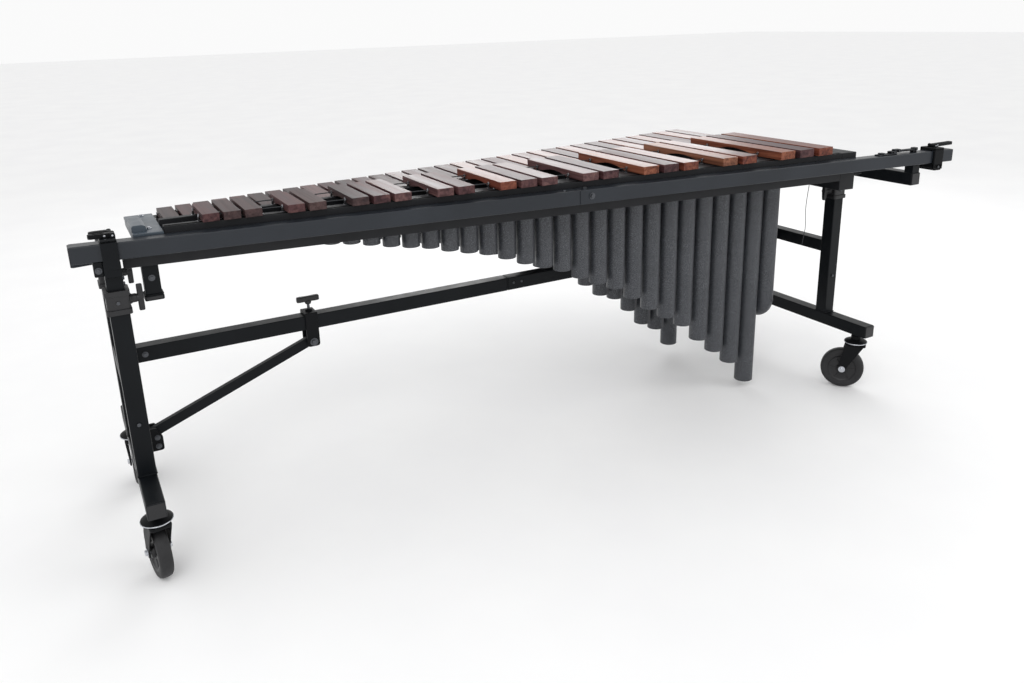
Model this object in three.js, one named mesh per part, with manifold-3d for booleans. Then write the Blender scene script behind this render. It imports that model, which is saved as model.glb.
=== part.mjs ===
// A 4 1/2-octave concert marimba, F2 to C7, on a rolling frame that adjusts for height.
//
// Frame: X runs along the keyboard with the bass end at +X, Y runs from the audience side (-Y)
// to the player's side (+Y), Z is up, and the floor is Z = 0. Millimetres.
import * as THREE from 'three';
import { mergeVertices } from 'three/addons/utils/BufferGeometryUtils.js';
import Module from 'manifold-3d';

const wasm = await Module();
wasm.setup();

// ---- driving dimensions -------------------------------------------------------------------
const GAP = 0.3;                  // clearance between pieces that touch
const HALF_LENGTH = 1390;         // the rails overhang the keyboard at both ends
const RAIL_BASS_END = 1366;
const RAIL_JOIN = -81;            // each frame rail is two lengths that meet here
const RAIL_TOP = 871.3;
const RAIL_BOX = 42.4;            // square box section of the frame rails
const RAIL_BOTTOM = RAIL_TOP - RAIL_BOX;
const FAR_DROP = 70;               // the player-side rail runs this much lower, under the naturals
const FAR_TOP = RAIL_TOP - FAR_DROP;
const FAR_BOTTOM = RAIL_BOTTOM - FAR_DROP;
const WALL = 2.2;

// The two frame rails converge towards the treble end. These are their outer faces.
const nearFace = (x) => -364.7 - 0.1113 * x;
const farFace = (x) => 302.99 + 0.1585 * x;

// Keyboard: natural i (0 is C7, 32 is F2) reaches from edge(i) to edge(i + 1).
const NATURALS = 33;
const SLOTS = 31;                 // places for accidentals, gaps between the groups included
const KEY_START = -1165.7;
const edge = (i) => KEY_START + 47.7 * i + 0.46 * i * i;
const BAR_FILL = 0.82;            // bar width over pitch
const TOP_MIDI = 96;              // C7
const BAR_THICK_TREBLE = 20;
const BAR_THICK_BASS = 26;
const ACCIDENTAL_UNDER = 890.5;   // underside of the raised row of bars
const NATURAL_UNDER = 862;
const accidentalFront = (x) => -334.7 - 0.1113 * x;
const accidentalBack = (x) => -8.8 + 0.05 * x;
const naturalFront = (x) => accidentalBack(x) - 12;
const naturalBack = (x) => 265.2 + 0.1585 * x;
const NODE_SHARE = 0.22;          // a bar hangs at its still points, this share in from each end
const CORD_RADIUS = 1.5;

// Resonators
const ACCIDENTAL_TUBE_TOP = 847;
const NATURAL_TUBE_TOP = 822;
const TUBE_FILL = 0.87;           // tube diameter over pitch
const TUBE_SIDES = 10;
const SPEED_OF_SOUND = 345000;
const END_CORRECTION = 12.3;
const FOLD_LEVEL = 329;           // a tube too long for the floor turns back up below here
const FOLD_RADIUS = 37;
const FLOOR_CLEARANCE = 25;

// Rolling base
const LEG_BOX = 45;
const TREBLE_LEG_X = -1304;
const BASS_LEG_X = 1082;
const BEAM_BOTTOM = 212;
const BEAM_TOP = 256;
const CROSSBAR_BOTTOM = 488;
const CROSSBAR_TOP = 531;
const COLLAR_BOTTOM = 692;
const COLLAR_TOP = 752;
const COLLAR_SIZE = 58;
const MAST_BOX = 38;
const MAST_BOTTOM = 470;
const STRETCHER_NEAR = -14;
const STRETCHER_FAR = 29;
const STRETCHER_JOIN = -140;

// Casters
const WHEEL_RADIUS = 75;
const WHEEL_WIDTH = 34;
const WHEEL_SIDES = 24;
const CASTER_TRAIL = 38;
const AXLE_RADIUS = 6;

// ---- solids -------------------------------------------------------------------------------
function solid(geometry) {
  const bare = geometry.index ? geometry.toNonIndexed() : geometry.clone();
  bare.deleteAttribute('normal');
  bare.deleteAttribute('uv');
  const merged = mergeVertices(bare, 1e-4);
  return new wasm.Manifold(new wasm.Mesh({
    numProp: 3,
    vertProperties: merged.attributes.position.array,
    triVerts: new Uint32Array(merged.index.array),
  }));
}

function geometryOf(manifold) {
  const mesh = manifold.getMesh();
  const geometry = new THREE.BufferGeometry();
  geometry.setAttribute('position', new THREE.BufferAttribute(mesh.vertProperties, 3));
  geometry.setIndex(new THREE.BufferAttribute(mesh.triVerts, 1));
  geometry.computeVertexNormals();
  return geometry;
}

function box(x0, x1, y0, y1, z0, z1) {
  const geometry = new THREE.BoxGeometry(x1 - x0, y1 - y0, z1 - z0);
  geometry.translate((x0 + x1) / 2, (y0 + y1) / 2, (z0 + z1) / 2);
  return solid(geometry);
}

// An upright prism over a four-cornered or freer outline given in plan.
function prism(outline, z0, z1) {
  const shape = new THREE.Shape(outline.map(([x, y]) => new THREE.Vector2(x, y)));
  const geometry = new THREE.ExtrudeGeometry(shape, { depth: z1 - z0, bevelEnabled: false });
  geometry.translate(0, 0, z0);
  return solid(geometry);
}

// A board between two lines in plan, lowY(x) and highY(x), both straight.
function board(x0, x1, lowY, highY, z0, z1) {
  return prism([[x0, lowY(x0)], [x1, lowY(x1)], [x1, highY(x1)], [x0, highY(x0)]], z0, z1);
}

function cylinder(radius, z0, z1, x, y, sides) {
  const geometry = new THREE.CylinderGeometry(radius, radius, z1 - z0, sides);
  geometry.rotateX(Math.PI / 2);
  geometry.rotateZ(Math.PI / sides);
  geometry.translate(x, y, (z0 + z1) / 2);
  return solid(geometry);
}

// A rod of round section between two points.
function rod(from, to, radius, sides = 6) {
  const a = new THREE.Vector3(...from);
  const b = new THREE.Vector3(...to);
  const geometry = new THREE.CylinderGeometry(radius, radius, a.distanceTo(b), sides);
  const turn = new THREE.Quaternion().setFromUnitVectors(
    new THREE.Vector3(0, 1, 0),
    b.clone().sub(a).normalize(),
  );
  geometry.applyQuaternion(turn);
  const middle = a.add(b).multiplyScalar(0.5);
  geometry.translate(middle.x, middle.y, middle.z);
  return solid(geometry);
}

function circle(radius, sides) {
  const points = [];
  for (let i = 0; i < sides; i += 1) {
    const angle = (2 * Math.PI * (i + 0.5)) / sides;
    points.push(new THREE.Vector2(radius * Math.cos(angle), radius * Math.sin(angle)));
  }
  return new THREE.Shape(points);
}

function sweep(path, radius, sides, steps) {
  return solid(new THREE.ExtrudeGeometry(circle(radius, sides), { extrudePath: path, steps }));
}

const join = (pieces) => pieces.reduce((all, piece) => all.add(piece));

// ---- materials ----------------------------------------------------------------------------
const finish = (color, roughness, metalness) => (
  new THREE.MeshStandardMaterial({ color, roughness, metalness })
);
const blackPaint = finish(0x1d2024, 0.42, 0.2);
const greyCasting = finish(0x6c7580, 0.4, 0.5);
const tubeCoat = finish(0x4a4e55, 0.62, 0.25);
const boardBlack = finish(0x15171a, 0.55, 0.0);
const trebleWood = finish(0x4b3735, 0.4, 0.0);
const bassWood = finish(0x8a4a35, 0.38, 0.0);
const steel = finish(0xaab0b8, 0.3, 0.9);
const tyreRubber = finish(0x16171a, 0.7, 0.0);
const plasticBlack = finish(0x131416, 0.45, 0.0);
const stringGrey = finish(0x83868a, 0.8, 0.0);

const marimba = new THREE.Group();

function place(name, manifold, material, parent = marimba) {
  const mesh = new THREE.Mesh(geometryOf(manifold), material);
  mesh.name = name;
  parent.add(mesh);
  return mesh;
}

// ---- frame rails --------------------------------------------------------------------------
// A box tube between x0 and x1 along a slanted face, closed at its outer end, open at the join.
function frameRail(x0, x1, face, depthSign, closedAt, drop) {
  const inner = (x) => face(x) + depthSign * RAIL_BOX;
  const low = depthSign > 0 ? face : inner;
  const high = depthSign > 0 ? inner : face;
  const bottom = RAIL_BOTTOM - drop;
  const top = RAIL_TOP - drop;
  const outside = board(x0, x1, low, high, bottom, top);
  const h0 = closedAt === 'low' ? x0 + WALL : x0 - 1;
  const h1 = closedAt === 'high' ? x1 - WALL : x1 + 1;
  const hollow = board(
    h0, h1, (x) => low(x) + WALL, (x) => high(x) - WALL, bottom + WALL, top - WALL,
  );
  return outside.subtract(hollow);
}
const BASS_START = RAIL_JOIN + GAP;
const railPieces = [
  ['near_rail_treble', -HALF_LENGTH, RAIL_JOIN, nearFace, 1, 'low', 0],
  ['far_rail_treble', -HALF_LENGTH, RAIL_JOIN, farFace, -1, 'low', FAR_DROP],
  ['far_rail_bass', BASS_START, RAIL_BASS_END, farFace, -1, 'high', FAR_DROP],
];
for (const [name, ...shape] of railPieces) {
  place(name, frameRail(...shape), blackPaint);
}

// The bass half of the near rail carries a toggle latch, folded flat along its top.
const alongRail = (inset) => [
  (x) => nearFace(x) + inset, (x) => nearFace(x) + RAIL_BOX - inset,
];
place('near_rail_bass', join([
  frameRail(BASS_START, RAIL_BASS_END, nearFace, 1, 'high', 0),
  board(1041, 1120, ...alongRail(10), RAIL_TOP - 1, 880),
  board(1112, 1216, ...alongRail(13), 876, 888),
  board(1196, 1212, ...alongRail(13), RAIL_TOP - 1, 877),
]), blackPaint);

// ---- key rails, with a post on each side of every bar ---------------------------------------
const accidentalNear = (x) => (
  accidentalFront(x) + NODE_SHARE * (accidentalBack(x) - accidentalFront(x))
);
const accidentalFar = (x) => (
  accidentalBack(x) - NODE_SHARE * (accidentalBack(x) - accidentalFront(x))
);
const naturalNear = (x) => naturalFront(x) + NODE_SHARE * (naturalBack(x) - naturalFront(x));
const naturalFar = (x) => naturalBack(x) - NODE_SHARE * (naturalBack(x) - naturalFront(x));

const KEY_RAIL_START = -1177;
const KEY_RAIL_END = 914;
const SKIRT_START = -1278;
const SKIRT_BOTTOM = 795;
const SKIRT_TOP = 868;
const SKIRT_THICK = 13;
const CORD_ABOVE_UNDERSIDE = 11;
const midiOfNatural = (i) => {
  const down = [0, 1, 3, 5, 7, 8, 10];   // semitones from C down to B, A, G, F, E, D
  return TOP_MIDI - 12 * Math.floor(i / 7) - down[i % 7];
};
const slotMidi = (k) => midiOfNatural(k + 1) - 1;
const slotHasBar = (k) => midiOfNatural(k + 1) - midiOfNatural(k + 2) === 2;
const slotX = (k) => edge(k + 2);
const slotPitch = (k) => (edge(k + 3) - edge(k + 1)) / 2;
const naturalX = (i) => (edge(i) + edge(i + 1)) / 2;
const naturalPitch = (i) => edge(i + 1) - edge(i);

function posts(centres, line, from, under) {
  const top = under + CORD_ABOVE_UNDERSIDE - CORD_RADIUS - GAP;
  return centres.map((x) => box(x - 1.6, x + 1.6, line(x) - 2.5, line(x) + 2.5, from - 1, top));
}

const accidentalPosts = [];
for (let k = 0; k < SLOTS; k += 1) {
  if (slotHasBar(k)) {
    accidentalPosts.push(slotX(k) - slotPitch(k) / 2);
    if (k + 1 === SLOTS || !slotHasBar(k + 1)) {
      accidentalPosts.push(slotX(k) + slotPitch(k) / 2);
    }
  }
}
const naturalPosts = [];
for (let i = 0; i <= NATURALS; i += 1) {
  naturalPosts.push(edge(i));
}

const outerTop = 888.5;
const lowTop = 860;
place('accidental_rail_outer', join([
  board(
    SKIRT_START, KEY_RAIL_END,
    (x) => nearFace(x) + RAIL_BOX + GAP, (x) => nearFace(x) + RAIL_BOX + SKIRT_THICK,
    SKIRT_BOTTOM, SKIRT_TOP,
  ),
  board(
    KEY_RAIL_START, KEY_RAIL_END,
    (x) => nearFace(x) + RAIL_BOX + GAP, (x) => nearFace(x) + RAIL_BOX + SKIRT_THICK,
    SKIRT_TOP - 1, outerTop,
  ),
  board(
    KEY_RAIL_START, KEY_RAIL_END,
    (x) => nearFace(x) + RAIL_BOX + 1, (x) => accidentalNear(x) + 9, outerTop - 18, outerTop,
  ),
  ...posts(accidentalPosts, accidentalNear, outerTop, ACCIDENTAL_UNDER),
]), boardBlack);
place('accidental_rail_inner', join([
  board(
    KEY_RAIL_START, KEY_RAIL_END,
    (x) => accidentalFar(x) - 11, (x) => accidentalFar(x) + 10, 853, outerTop,
  ),
  ...posts(accidentalPosts, accidentalFar, outerTop, ACCIDENTAL_UNDER),
]), boardBlack);
place('natural_rail_inner', join([
  board(
    KEY_RAIL_START, KEY_RAIL_END,
    (x) => naturalNear(x) - 11, (x) => naturalNear(x) + 11, 826, lowTop,
  ),
  ...posts(naturalPosts, naturalNear, lowTop, NATURAL_UNDER),
]), boardBlack);
place('natural_rail_outer', join([
  board(
    KEY_RAIL_START, KEY_RAIL_END,
    (x) => farFace(x) - 30, (x) => farFace(x) - 17, FAR_TOP + GAP, lowTop,
  ),
  board(
    KEY_RAIL_START, KEY_RAIL_END,
    (x) => naturalFar(x) - 9, (x) => farFace(x) - 20, lowTop - 18, lowTop,
  ),
  ...posts(naturalPosts, naturalFar, lowTop, NATURAL_UNDER),
]), boardBlack);

// Ends of the key bed: a grey casting at the treble, a deep black board at the bass.
place('treble_end_casting', join([
  board(
    -1247, KEY_RAIL_START - GAP, (x) => nearFace(x) + RAIL_BOX + 1, () => 46,
    SKIRT_TOP + GAP, SKIRT_TOP + 9,
  ),
  box(-1247, KEY_RAIL_START - GAP, -158, 46, 852, SKIRT_TOP + 1),
  box(-1247, -1211, -164, -62, SKIRT_TOP + 8, 893),
]), greyCasting);
const BOARD_END = 976;
place('bass_end_board', join([
  board(
    KEY_RAIL_END + GAP, BOARD_END, (x) => nearFace(x) + RAIL_BOX + GAP, () => -18, 762, 889,
  ),
  board(
    KEY_RAIL_END + GAP, BOARD_END, () => -19, (x) => farFace(x) - RAIL_BOX - GAP, 762, lowTop,
  ),
  board(
    KEY_RAIL_END + GAP, BOARD_END, (x) => farFace(x) - RAIL_BOX - 2, (x) => farFace(x) - 17,
    FAR_TOP + GAP, lowTop,
  ),
]), boardBlack);

// ---- bars ---------------------------------------------------------------------------------
// Bars of a set are strung on two cords that pass through them at their still points.
const thickness = (x) => {
  const share = (x - KEY_START) / (edge(NATURALS) - KEY_START);
  return BAR_THICK_TREBLE + (BAR_THICK_BASS - BAR_THICK_TREBLE) * share;
};

function barSet(bars, front, back, nodeNear, nodeFar, under) {
  const pieces = bars.map(({ x, pitch }) => {
    const half = (pitch * BAR_FILL) / 2;
    return box(x - half, x + half, front(x), back(x), under, under + thickness(x));
  });
  const first = bars[0];
  const last = bars[bars.length - 1];
  const a = first.x - first.pitch / 2 + 1;
  const b = last.x + last.pitch / 2 - 1;
  const z = under + CORD_ABOVE_UNDERSIDE;
  pieces.push(rod([a, nodeNear(a), z], [b, nodeNear(b), z], CORD_RADIUS));
  pieces.push(rod([a, nodeFar(a), z], [b, nodeFar(b), z], CORD_RADIUS));
  return join(pieces);
}

const slotRange = (from, to) => {
  const bars = [];
  for (let k = from; k < to; k += 1) {
    if (slotHasBar(k)) {
      bars.push({ x: slotX(k), pitch: slotPitch(k) });
    }
  }
  return bars;
};
const naturalRange = (from, to) => {
  const bars = [];
  for (let i = from; i < to; i += 1) {
    bars.push({ x: naturalX(i), pitch: naturalPitch(i) });
  }
  return bars;
};
const BAR_SPLIT_SLOT = 17;        // the strings part between F#4 and D#4
const BAR_SPLIT_NATURAL = 19;     // and between F4 and E4
const accidentalLines = [
  accidentalFront, accidentalBack, accidentalNear, accidentalFar, ACCIDENTAL_UNDER,
];
const naturalLines = [naturalFront, naturalBack, naturalNear, naturalFar, NATURAL_UNDER];
place('accidental_bars_treble', barSet(slotRange(0, BAR_SPLIT_SLOT), ...accidentalLines), trebleWood);
place('accidental_bars_bass', barSet(slotRange(BAR_SPLIT_SLOT, SLOTS), ...accidentalLines), bassWood);
place('natural_bars_treble', barSet(naturalRange(0, BAR_SPLIT_NATURAL), ...naturalLines), trebleWood);
place('natural_bars_bass', barSet(naturalRange(BAR_SPLIT_NATURAL, NATURALS), ...naturalLines), bassWood);

// ---- resonators ---------------------------------------------------------------------------
const frequency = (midi) => 440 * 2 ** ((midi - 69) / 12);
const tubeLength = (midi) => SPEED_OF_SOUND / (4 * frequency(midi)) - END_CORRECTION;
const TUBE_WALL = 1.6;

function straightTube(x, y, top, length, radius) {
  const outside = cylinder(radius, top - length, top, x, y, TUBE_SIDES);
  const bore = cylinder(
    radius - TUBE_WALL, top - length + TUBE_WALL, top + 1, x, y, TUBE_SIDES,
  );
  return outside.subtract(bore);
}

// A closed round pipe through points [y, z] in the plane at x, mitred where it turns.
function planarPipe(x, points, radius) {
  const vertices = [];
  const faces = [];
  points.forEach(([y, z], i) => {
    const before = points[Math.max(0, i - 1)];
    const after = points[Math.min(points.length - 1, i + 1)];
    const heading = Math.atan2(after[1] - before[1], after[0] - before[0]);
    for (let k = 0; k < TUBE_SIDES; k += 1) {
      const angle = (2 * Math.PI * (k + 0.5)) / TUBE_SIDES;
      const out = radius * Math.cos(angle);
      vertices.push(
        x + radius * Math.sin(angle), y - out * Math.sin(heading), z + out * Math.cos(heading),
      );
    }
  });
  for (let i = 0; i + 1 < points.length; i += 1) {
    for (let k = 0; k < TUBE_SIDES; k += 1) {
      const a = i * TUBE_SIDES + k;
      const b = i * TUBE_SIDES + ((k + 1) % TUBE_SIDES);
      faces.push(a, b, b + TUBE_SIDES, a, b + TUBE_SIDES, a + TUBE_SIDES);
    }
  }
  const last = (points.length - 1) * TUBE_SIDES;
  for (let k = 1; k + 1 < TUBE_SIDES; k += 1) {
    faces.push(0, k + 1, k);
    faces.push(last, last + k, last + k + 1);
  }
  const geometry = new THREE.BufferGeometry();
  geometry.setAttribute('position', new THREE.Float32BufferAttribute(vertices, 3));
  geometry.setIndex(faces);
  return solid(geometry);
}

// Down, half a turn towards foldSign * Y, and up again, closed at the far end.
function foldedTube(x, y, top, length, radius, foldSign) {
  const up = length - (top - FOLD_LEVEL) - Math.PI * FOLD_RADIUS;
  const turns = 8;
  const bend = [];
  for (let i = 0; i <= turns; i += 1) {
    const angle = (Math.PI * i) / turns;
    bend.push([
      y + foldSign * FOLD_RADIUS * (1 - Math.cos(angle)), FOLD_LEVEL - FOLD_RADIUS * Math.sin(angle),
    ]);
  }
  const far = y + foldSign * 2 * FOLD_RADIUS;
  const outside = planarPipe(x, [[y, top], ...bend, [far, FOLD_LEVEL + up]], radius);
  const bore = planarPipe(
    x, [[y, top + 1], ...bend, [far, FOLD_LEVEL + up - TUBE_WALL]], radius - TUBE_WALL,
  );
  return outside.subtract(bore);
}

function resonatorBank(tubes, centreY, top, foldSign) {
  const pieces = tubes.map(({ x, pitch, length }) => {
    const radius = (pitch * TUBE_FILL) / 2;
    if (top - length < FLOOR_CLEARANCE) {
      return foldedTube(x, centreY(x), top, length, radius, foldSign);
    }
    return straightTube(x, centreY(x), top, length, radius);
  });
  const first = tubes[0];
  const last = tubes[tubes.length - 1];
  const x0 = first.x - first.pitch * 0.42;
  const x1 = last.x + last.pitch * 0.42;
  const reach = (x) => {
    const share = (x - x0) / (x1 - x0);
    return (TUBE_FILL / 2) * (first.pitch + (last.pitch - first.pitch) * share);
  };
  const strip = { low: top - 27, high: top - 3, thick: 4.5, bite: 2.2 };
  pieces.push(board(
    x0, x1, (x) => centreY(x) - reach(x) - strip.thick + strip.bite,
    (x) => centreY(x) - reach(x) + strip.bite, strip.low, strip.high,
  ).subtract(join(tubes.map(({ x, pitch }) => (
    cylinder(pitch * TUBE_FILL / 2 - TUBE_WALL, strip.low - 1, strip.high + 1, x, centreY(x), TUBE_SIDES)
  )))));
  pieces.push(board(
    x0, x1, (x) => centreY(x) + reach(x) - strip.bite,
    (x) => centreY(x) + reach(x) + strip.thick - strip.bite, strip.low, strip.high,
  ).subtract(join(tubes.map(({ x, pitch }) => (
    cylinder(pitch * TUBE_FILL / 2 - TUBE_WALL, strip.low - 1, strip.high + 1, x, centreY(x), TUBE_SIDES)
  )))));
  return join(pieces);
}

// Every slot has a tube. One without a bar has the mean length of its neighbours.
const slotLength = (k) => {
  if (slotHasBar(k)) {
    return tubeLength(slotMidi(k));
  }
  return (tubeLength(slotMidi(k - 1)) + tubeLength(slotMidi(k + 1))) / 2;
};
const MIN_TUBE = 32;
const accidentalTubes = (from, to) => {
  const tubes = [];
  for (let k = from; k < to; k += 1) {
    tubes.push({ x: slotX(k), pitch: slotPitch(k), length: Math.max(MIN_TUBE, slotLength(k)) });
  }
  return tubes;
};
const naturalTubes = (from, to) => {
  const tubes = [];
  for (let i = from; i < to; i += 1) {
    const length = Math.max(MIN_TUBE, tubeLength(midiOfNatural(i)));
    tubes.push({ x: naturalX(i), pitch: naturalPitch(i), length });
  }
  return tubes;
};
const accidentalMiddle = (x) => (accidentalFront(x) + accidentalBack(x)) / 2;
const naturalMiddle = (x) => (naturalFront(x) + naturalBack(x)) / 2;
place('accidental_resonators_treble', resonatorBank(
  accidentalTubes(0, BAR_SPLIT_SLOT), accidentalMiddle, ACCIDENTAL_TUBE_TOP, 1,
), tubeCoat);
place('accidental_resonators_bass', resonatorBank(
  accidentalTubes(BAR_SPLIT_SLOT, SLOTS), accidentalMiddle, ACCIDENTAL_TUBE_TOP, 1,
), tubeCoat);
place('natural_resonators_treble', resonatorBank(
  naturalTubes(0, BAR_SPLIT_NATURAL), naturalMiddle, NATURAL_TUBE_TOP, -1,
), tubeCoat);
place('natural_resonators_bass', resonatorBank(
  naturalTubes(BAR_SPLIT_NATURAL, NATURALS), naturalMiddle, NATURAL_TUBE_TOP, -1,
), tubeCoat);

// ---- masts, cross beams and rail clamps -----------------------------------------------------
const TREBLE_LEGS = [-187, 72];
const BASS_LEGS = [-266, 270];
const CLAMP_CHEEK = 9;
const CLAMP_TOP = 882;
const FAR_CLAMP_TOP = 830;

function mast(x, y, top) {
  const h = MAST_BOX / 2;
  return box(x - h, x + h, y - h, y + h, MAST_BOTTOM, top);
}

// Masts are tubes, open at the foot.
function mastHollow(x, legs, tops) {
  const i = MAST_BOX / 2 - WALL;
  return join(legs.map((y, k) => box(x - i, x + i, y - i, y + i, MAST_BOTTOM - 1, tops[k])));
}

// An arch over one rail: an outer cheek, an inner cheek and a cap.
function railSaddle(x, face, depthSign, halfWidth, bottom, top, railTop = RAIL_TOP) {
  const span = (from, to, z0, z1) => board(
    x - halfWidth, x + halfWidth,
    (u) => face(u) + Math.min(depthSign * from, depthSign * to),
    (u) => face(u) + Math.max(depthSign * from, depthSign * to), z0, z1,
  );
  return join([
    span(-CLAMP_CHEEK, -GAP, bottom, top),
    span(RAIL_BOX + GAP, RAIL_BOX + CLAMP_CHEEK, bottom, top),
    span(-CLAMP_CHEEK, RAIL_BOX + CLAMP_CHEEK, railTop + GAP, top),
  ]);
}

const LEVER_THICK = 10.7;
const LEVER_HALF = 9;
const LEVER_PIN = 2.5;
const TREBLE_PIVOT_X = -1292;
const FAR_PIVOT_X = -1286;
const leverY = (face, depthSign, x) => face(x) + (depthSign * RAIL_BOX) / 2;

// Two lugs on a clamp's cap, with the pin that a cam lever turns on.
function leverLugs(pivotX, y, z) {
  const axle = z + GAP + LEVER_THICK / 2;
  const inner = LEVER_HALF + GAP;
  const outer = inner + 4;
  return join([
    box(pivotX - 6, pivotX + 6, y - outer, y - inner, z - 1, axle + 6),
    box(pivotX - 6, pivotX + 6, y + inner, y + outer, z - 1, axle + 6),
    rod([pivotX, y - outer - 2, axle], [pivotX, y + outer + 2, axle], LEVER_PIN, 12),
  ]);
}

const trebleBeamNear = nearFace(TREBLE_LEG_X) - CLAMP_CHEEK;
const trebleBeamFar = farFace(TREBLE_LEG_X + 19) - RAIL_BOX - CLAMP_CHEEK;
place('treble_mast_frame', join([
  mast(TREBLE_LEG_X, TREBLE_LEGS[0], 800),
  mast(TREBLE_LEG_X, TREBLE_LEGS[1], FAR_BOTTOM - GAP),
  box(
    TREBLE_LEG_X - 19, TREBLE_LEG_X + 19, trebleBeamNear + 2, trebleBeamFar + 1,
    790, RAIL_BOTTOM - GAP,
  ),
  box(TREBLE_LEG_X - 19, TREBLE_LEG_X + 19, 40, 58, COLLAR_TOP + GAP, FAR_BOTTOM - GAP),
  railSaddle(TREBLE_LEG_X, nearFace, 1, 18, 808, CLAMP_TOP),
  railSaddle(TREBLE_LEG_X, farFace, -1, 18, 753, FAR_CLAMP_TOP, FAR_TOP),
  leverLugs(TREBLE_PIVOT_X, leverY(nearFace, 1, TREBLE_LEG_X), CLAMP_TOP),
  leverLugs(FAR_PIVOT_X, leverY(farFace, -1, TREBLE_LEG_X), FAR_CLAMP_TOP),
  box(-1344, TREBLE_LEG_X - 18, trebleBeamNear + 14, trebleBeamNear + 46, 792, RAIL_BOTTOM - GAP),
]).subtract(mastHollow(TREBLE_LEG_X, TREBLE_LEGS, [800, 740])), blackPaint);

const bassBeamFar = farFace(BASS_LEG_X - 19) - RAIL_BOX - GAP;
place('bass_mast_frame', join([
  mast(BASS_LEG_X, BASS_LEGS[0], 812),
  mast(BASS_LEG_X, BASS_LEGS[1], 812),
  box(
    BASS_LEG_X - 19, BASS_LEG_X + 19, -360, bassBeamFar, 790, RAIL_BOTTOM - GAP,
  ),
  box(BOARD_END + GAP, BASS_LEG_X - 18, -300, -262, 790, RAIL_BOTTOM - GAP),
  box(BOARD_END + GAP, BASS_LEG_X - 18, 251, 289, 790, RAIL_BOTTOM - GAP),
  box(BASS_LEG_X - 19, BASS_LEG_X + 19, bassBeamFar - 12, bassBeamFar, 746, 791),
  box(BASS_LEG_X - 19, BASS_LEG_X + 19, bassBeamFar - 12, bassBeamFar + 40, 746, FAR_BOTTOM - GAP),
]).subtract(mastHollow(BASS_LEG_X, BASS_LEGS, [800, 800])), blackPaint);

// Clamps near the bass ends of the rails, each a closed ring round its rail.
const CLAMP_PIVOT = 2;             // the lever's pin sits this far short of the clamp's middle
function ringClamp({ x, halfWidth, face, depthSign, drop }) {
  const x0 = x - halfWidth;
  const x1 = x + halfWidth;
  const outer = -depthSign * CLAMP_CHEEK;
  const inner = depthSign * (RAIL_BOX + CLAMP_CHEEK);
  const low = Math.min(outer, inner);
  const high = Math.max(outer, inner);
  return join([
    railSaddle(x, face, depthSign, halfWidth, 804 - drop, CLAMP_TOP - drop, RAIL_TOP - drop),
    leverLugs(x - CLAMP_PIVOT, leverY(face, depthSign, x), CLAMP_TOP - drop),
    board(
      x0, x1, (u) => face(u) + low, (u) => face(u) + high, 804 - drop, RAIL_BOTTOM - GAP - drop,
    ),
  ]);
}
const bassClamps = {
  near: { x: 1290, halfWidth: 20, face: nearFace, depthSign: 1, drop: 0, tip: HALF_LENGTH },
  far: { x: 1255, halfWidth: 20, face: farFace, depthSign: -1, drop: FAR_DROP, tip: 1345 },
};
for (const [side, clamp] of Object.entries(bassClamps)) {
  place(`bass_clamp_${side}`, ringClamp(clamp), blackPaint);
}

// Cam levers lie flat on the clamps. Each turns on a pin between two lugs and is slotted.
function camLever(pivotX, tipX, y, z) {
  const x0 = Math.min(pivotX, tipX);
  const x1 = Math.max(pivotX, tipX);
  const inward = Math.sign(tipX - pivotX);
  const axle = z + GAP + LEVER_THICK / 2;
  const slotStart = pivotX + inward * 22;
  const slotEnd = pivotX + inward * 46;
  return join([
    box(x0, x1, y - LEVER_HALF, y + LEVER_HALF, z + GAP, z + GAP + LEVER_THICK),
    rod([pivotX, y - LEVER_HALF, axle], [pivotX, y + LEVER_HALF, axle], LEVER_THICK / 2, 12),
  ]).subtract(rod(
    [pivotX, y - 20, axle], [pivotX, y + 20, axle], LEVER_PIN + GAP, 12,
  )).subtract(box(
    Math.min(slotStart, slotEnd), Math.max(slotStart, slotEnd), y - 3, y + 3, z - 1, z + 20,
  ));
}
place('treble_lever_near', camLever(
  TREBLE_PIVOT_X, -1345, leverY(nearFace, 1, TREBLE_LEG_X), CLAMP_TOP,
), blackPaint);
place('treble_lever_far', camLever(
  FAR_PIVOT_X, -1336, leverY(farFace, -1, TREBLE_LEG_X), FAR_CLAMP_TOP,
), blackPaint);
for (const [side, { x, face, depthSign, drop, tip }] of Object.entries(bassClamps)) {
  place(`bass_lever_${side}`, camLever(
    x - CLAMP_PIVOT, tip, leverY(face, depthSign, x), CLAMP_TOP - drop,
  ), blackPaint);
}

// Beam under the overhang at the bass end, from a post under the near rail to the far rail.
const OVERHANG_X = [1188, 1230];
const overhangNear = nearFace(OVERHANG_X[1]) + 6;
place('bass_overhang_beam', join([
  board(
    ...OVERHANG_X, () => overhangNear, (x) => farFace(x) - RAIL_BOX - GAP, 758, 801,
  ),
  box(OVERHANG_X[0] + 3, OVERHANG_X[1] - 3, overhangNear, overhangNear + 36, 800, RAIL_BOTTOM - GAP),
]), blackPaint);

// Foot under the treble end, for standing the keyboard down when it is off its base.
place('treble_rest_foot', join([
  box(-1238, -1200, -169, -132, 716, 851.7),
  box(-1242, -1196, -173, -128, 702, 717),
]), blackPaint);

// Loose end of the bar cord, hanging below the near key rail at the bass end.
const CORD_END = [
  [900, -331, 890.4], [899, -323, 891.6], [897, -317, 887], [896, -315, 862], [895, -314, 800],
  [894, -313, 759], [892, -312, 735], [888, -312, 678], [893, -312, 616], [890, -312, 596],
  [883, -312, 556],
];
const hangingCurve = new THREE.CatmullRomCurve3(
  CORD_END.map(([x, y, z]) => new THREE.Vector3(x, y, z)),
);
place('hanging_cord_end', sweep(hangingCurve, 1.1, 6, 36), stringGrey);

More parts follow.
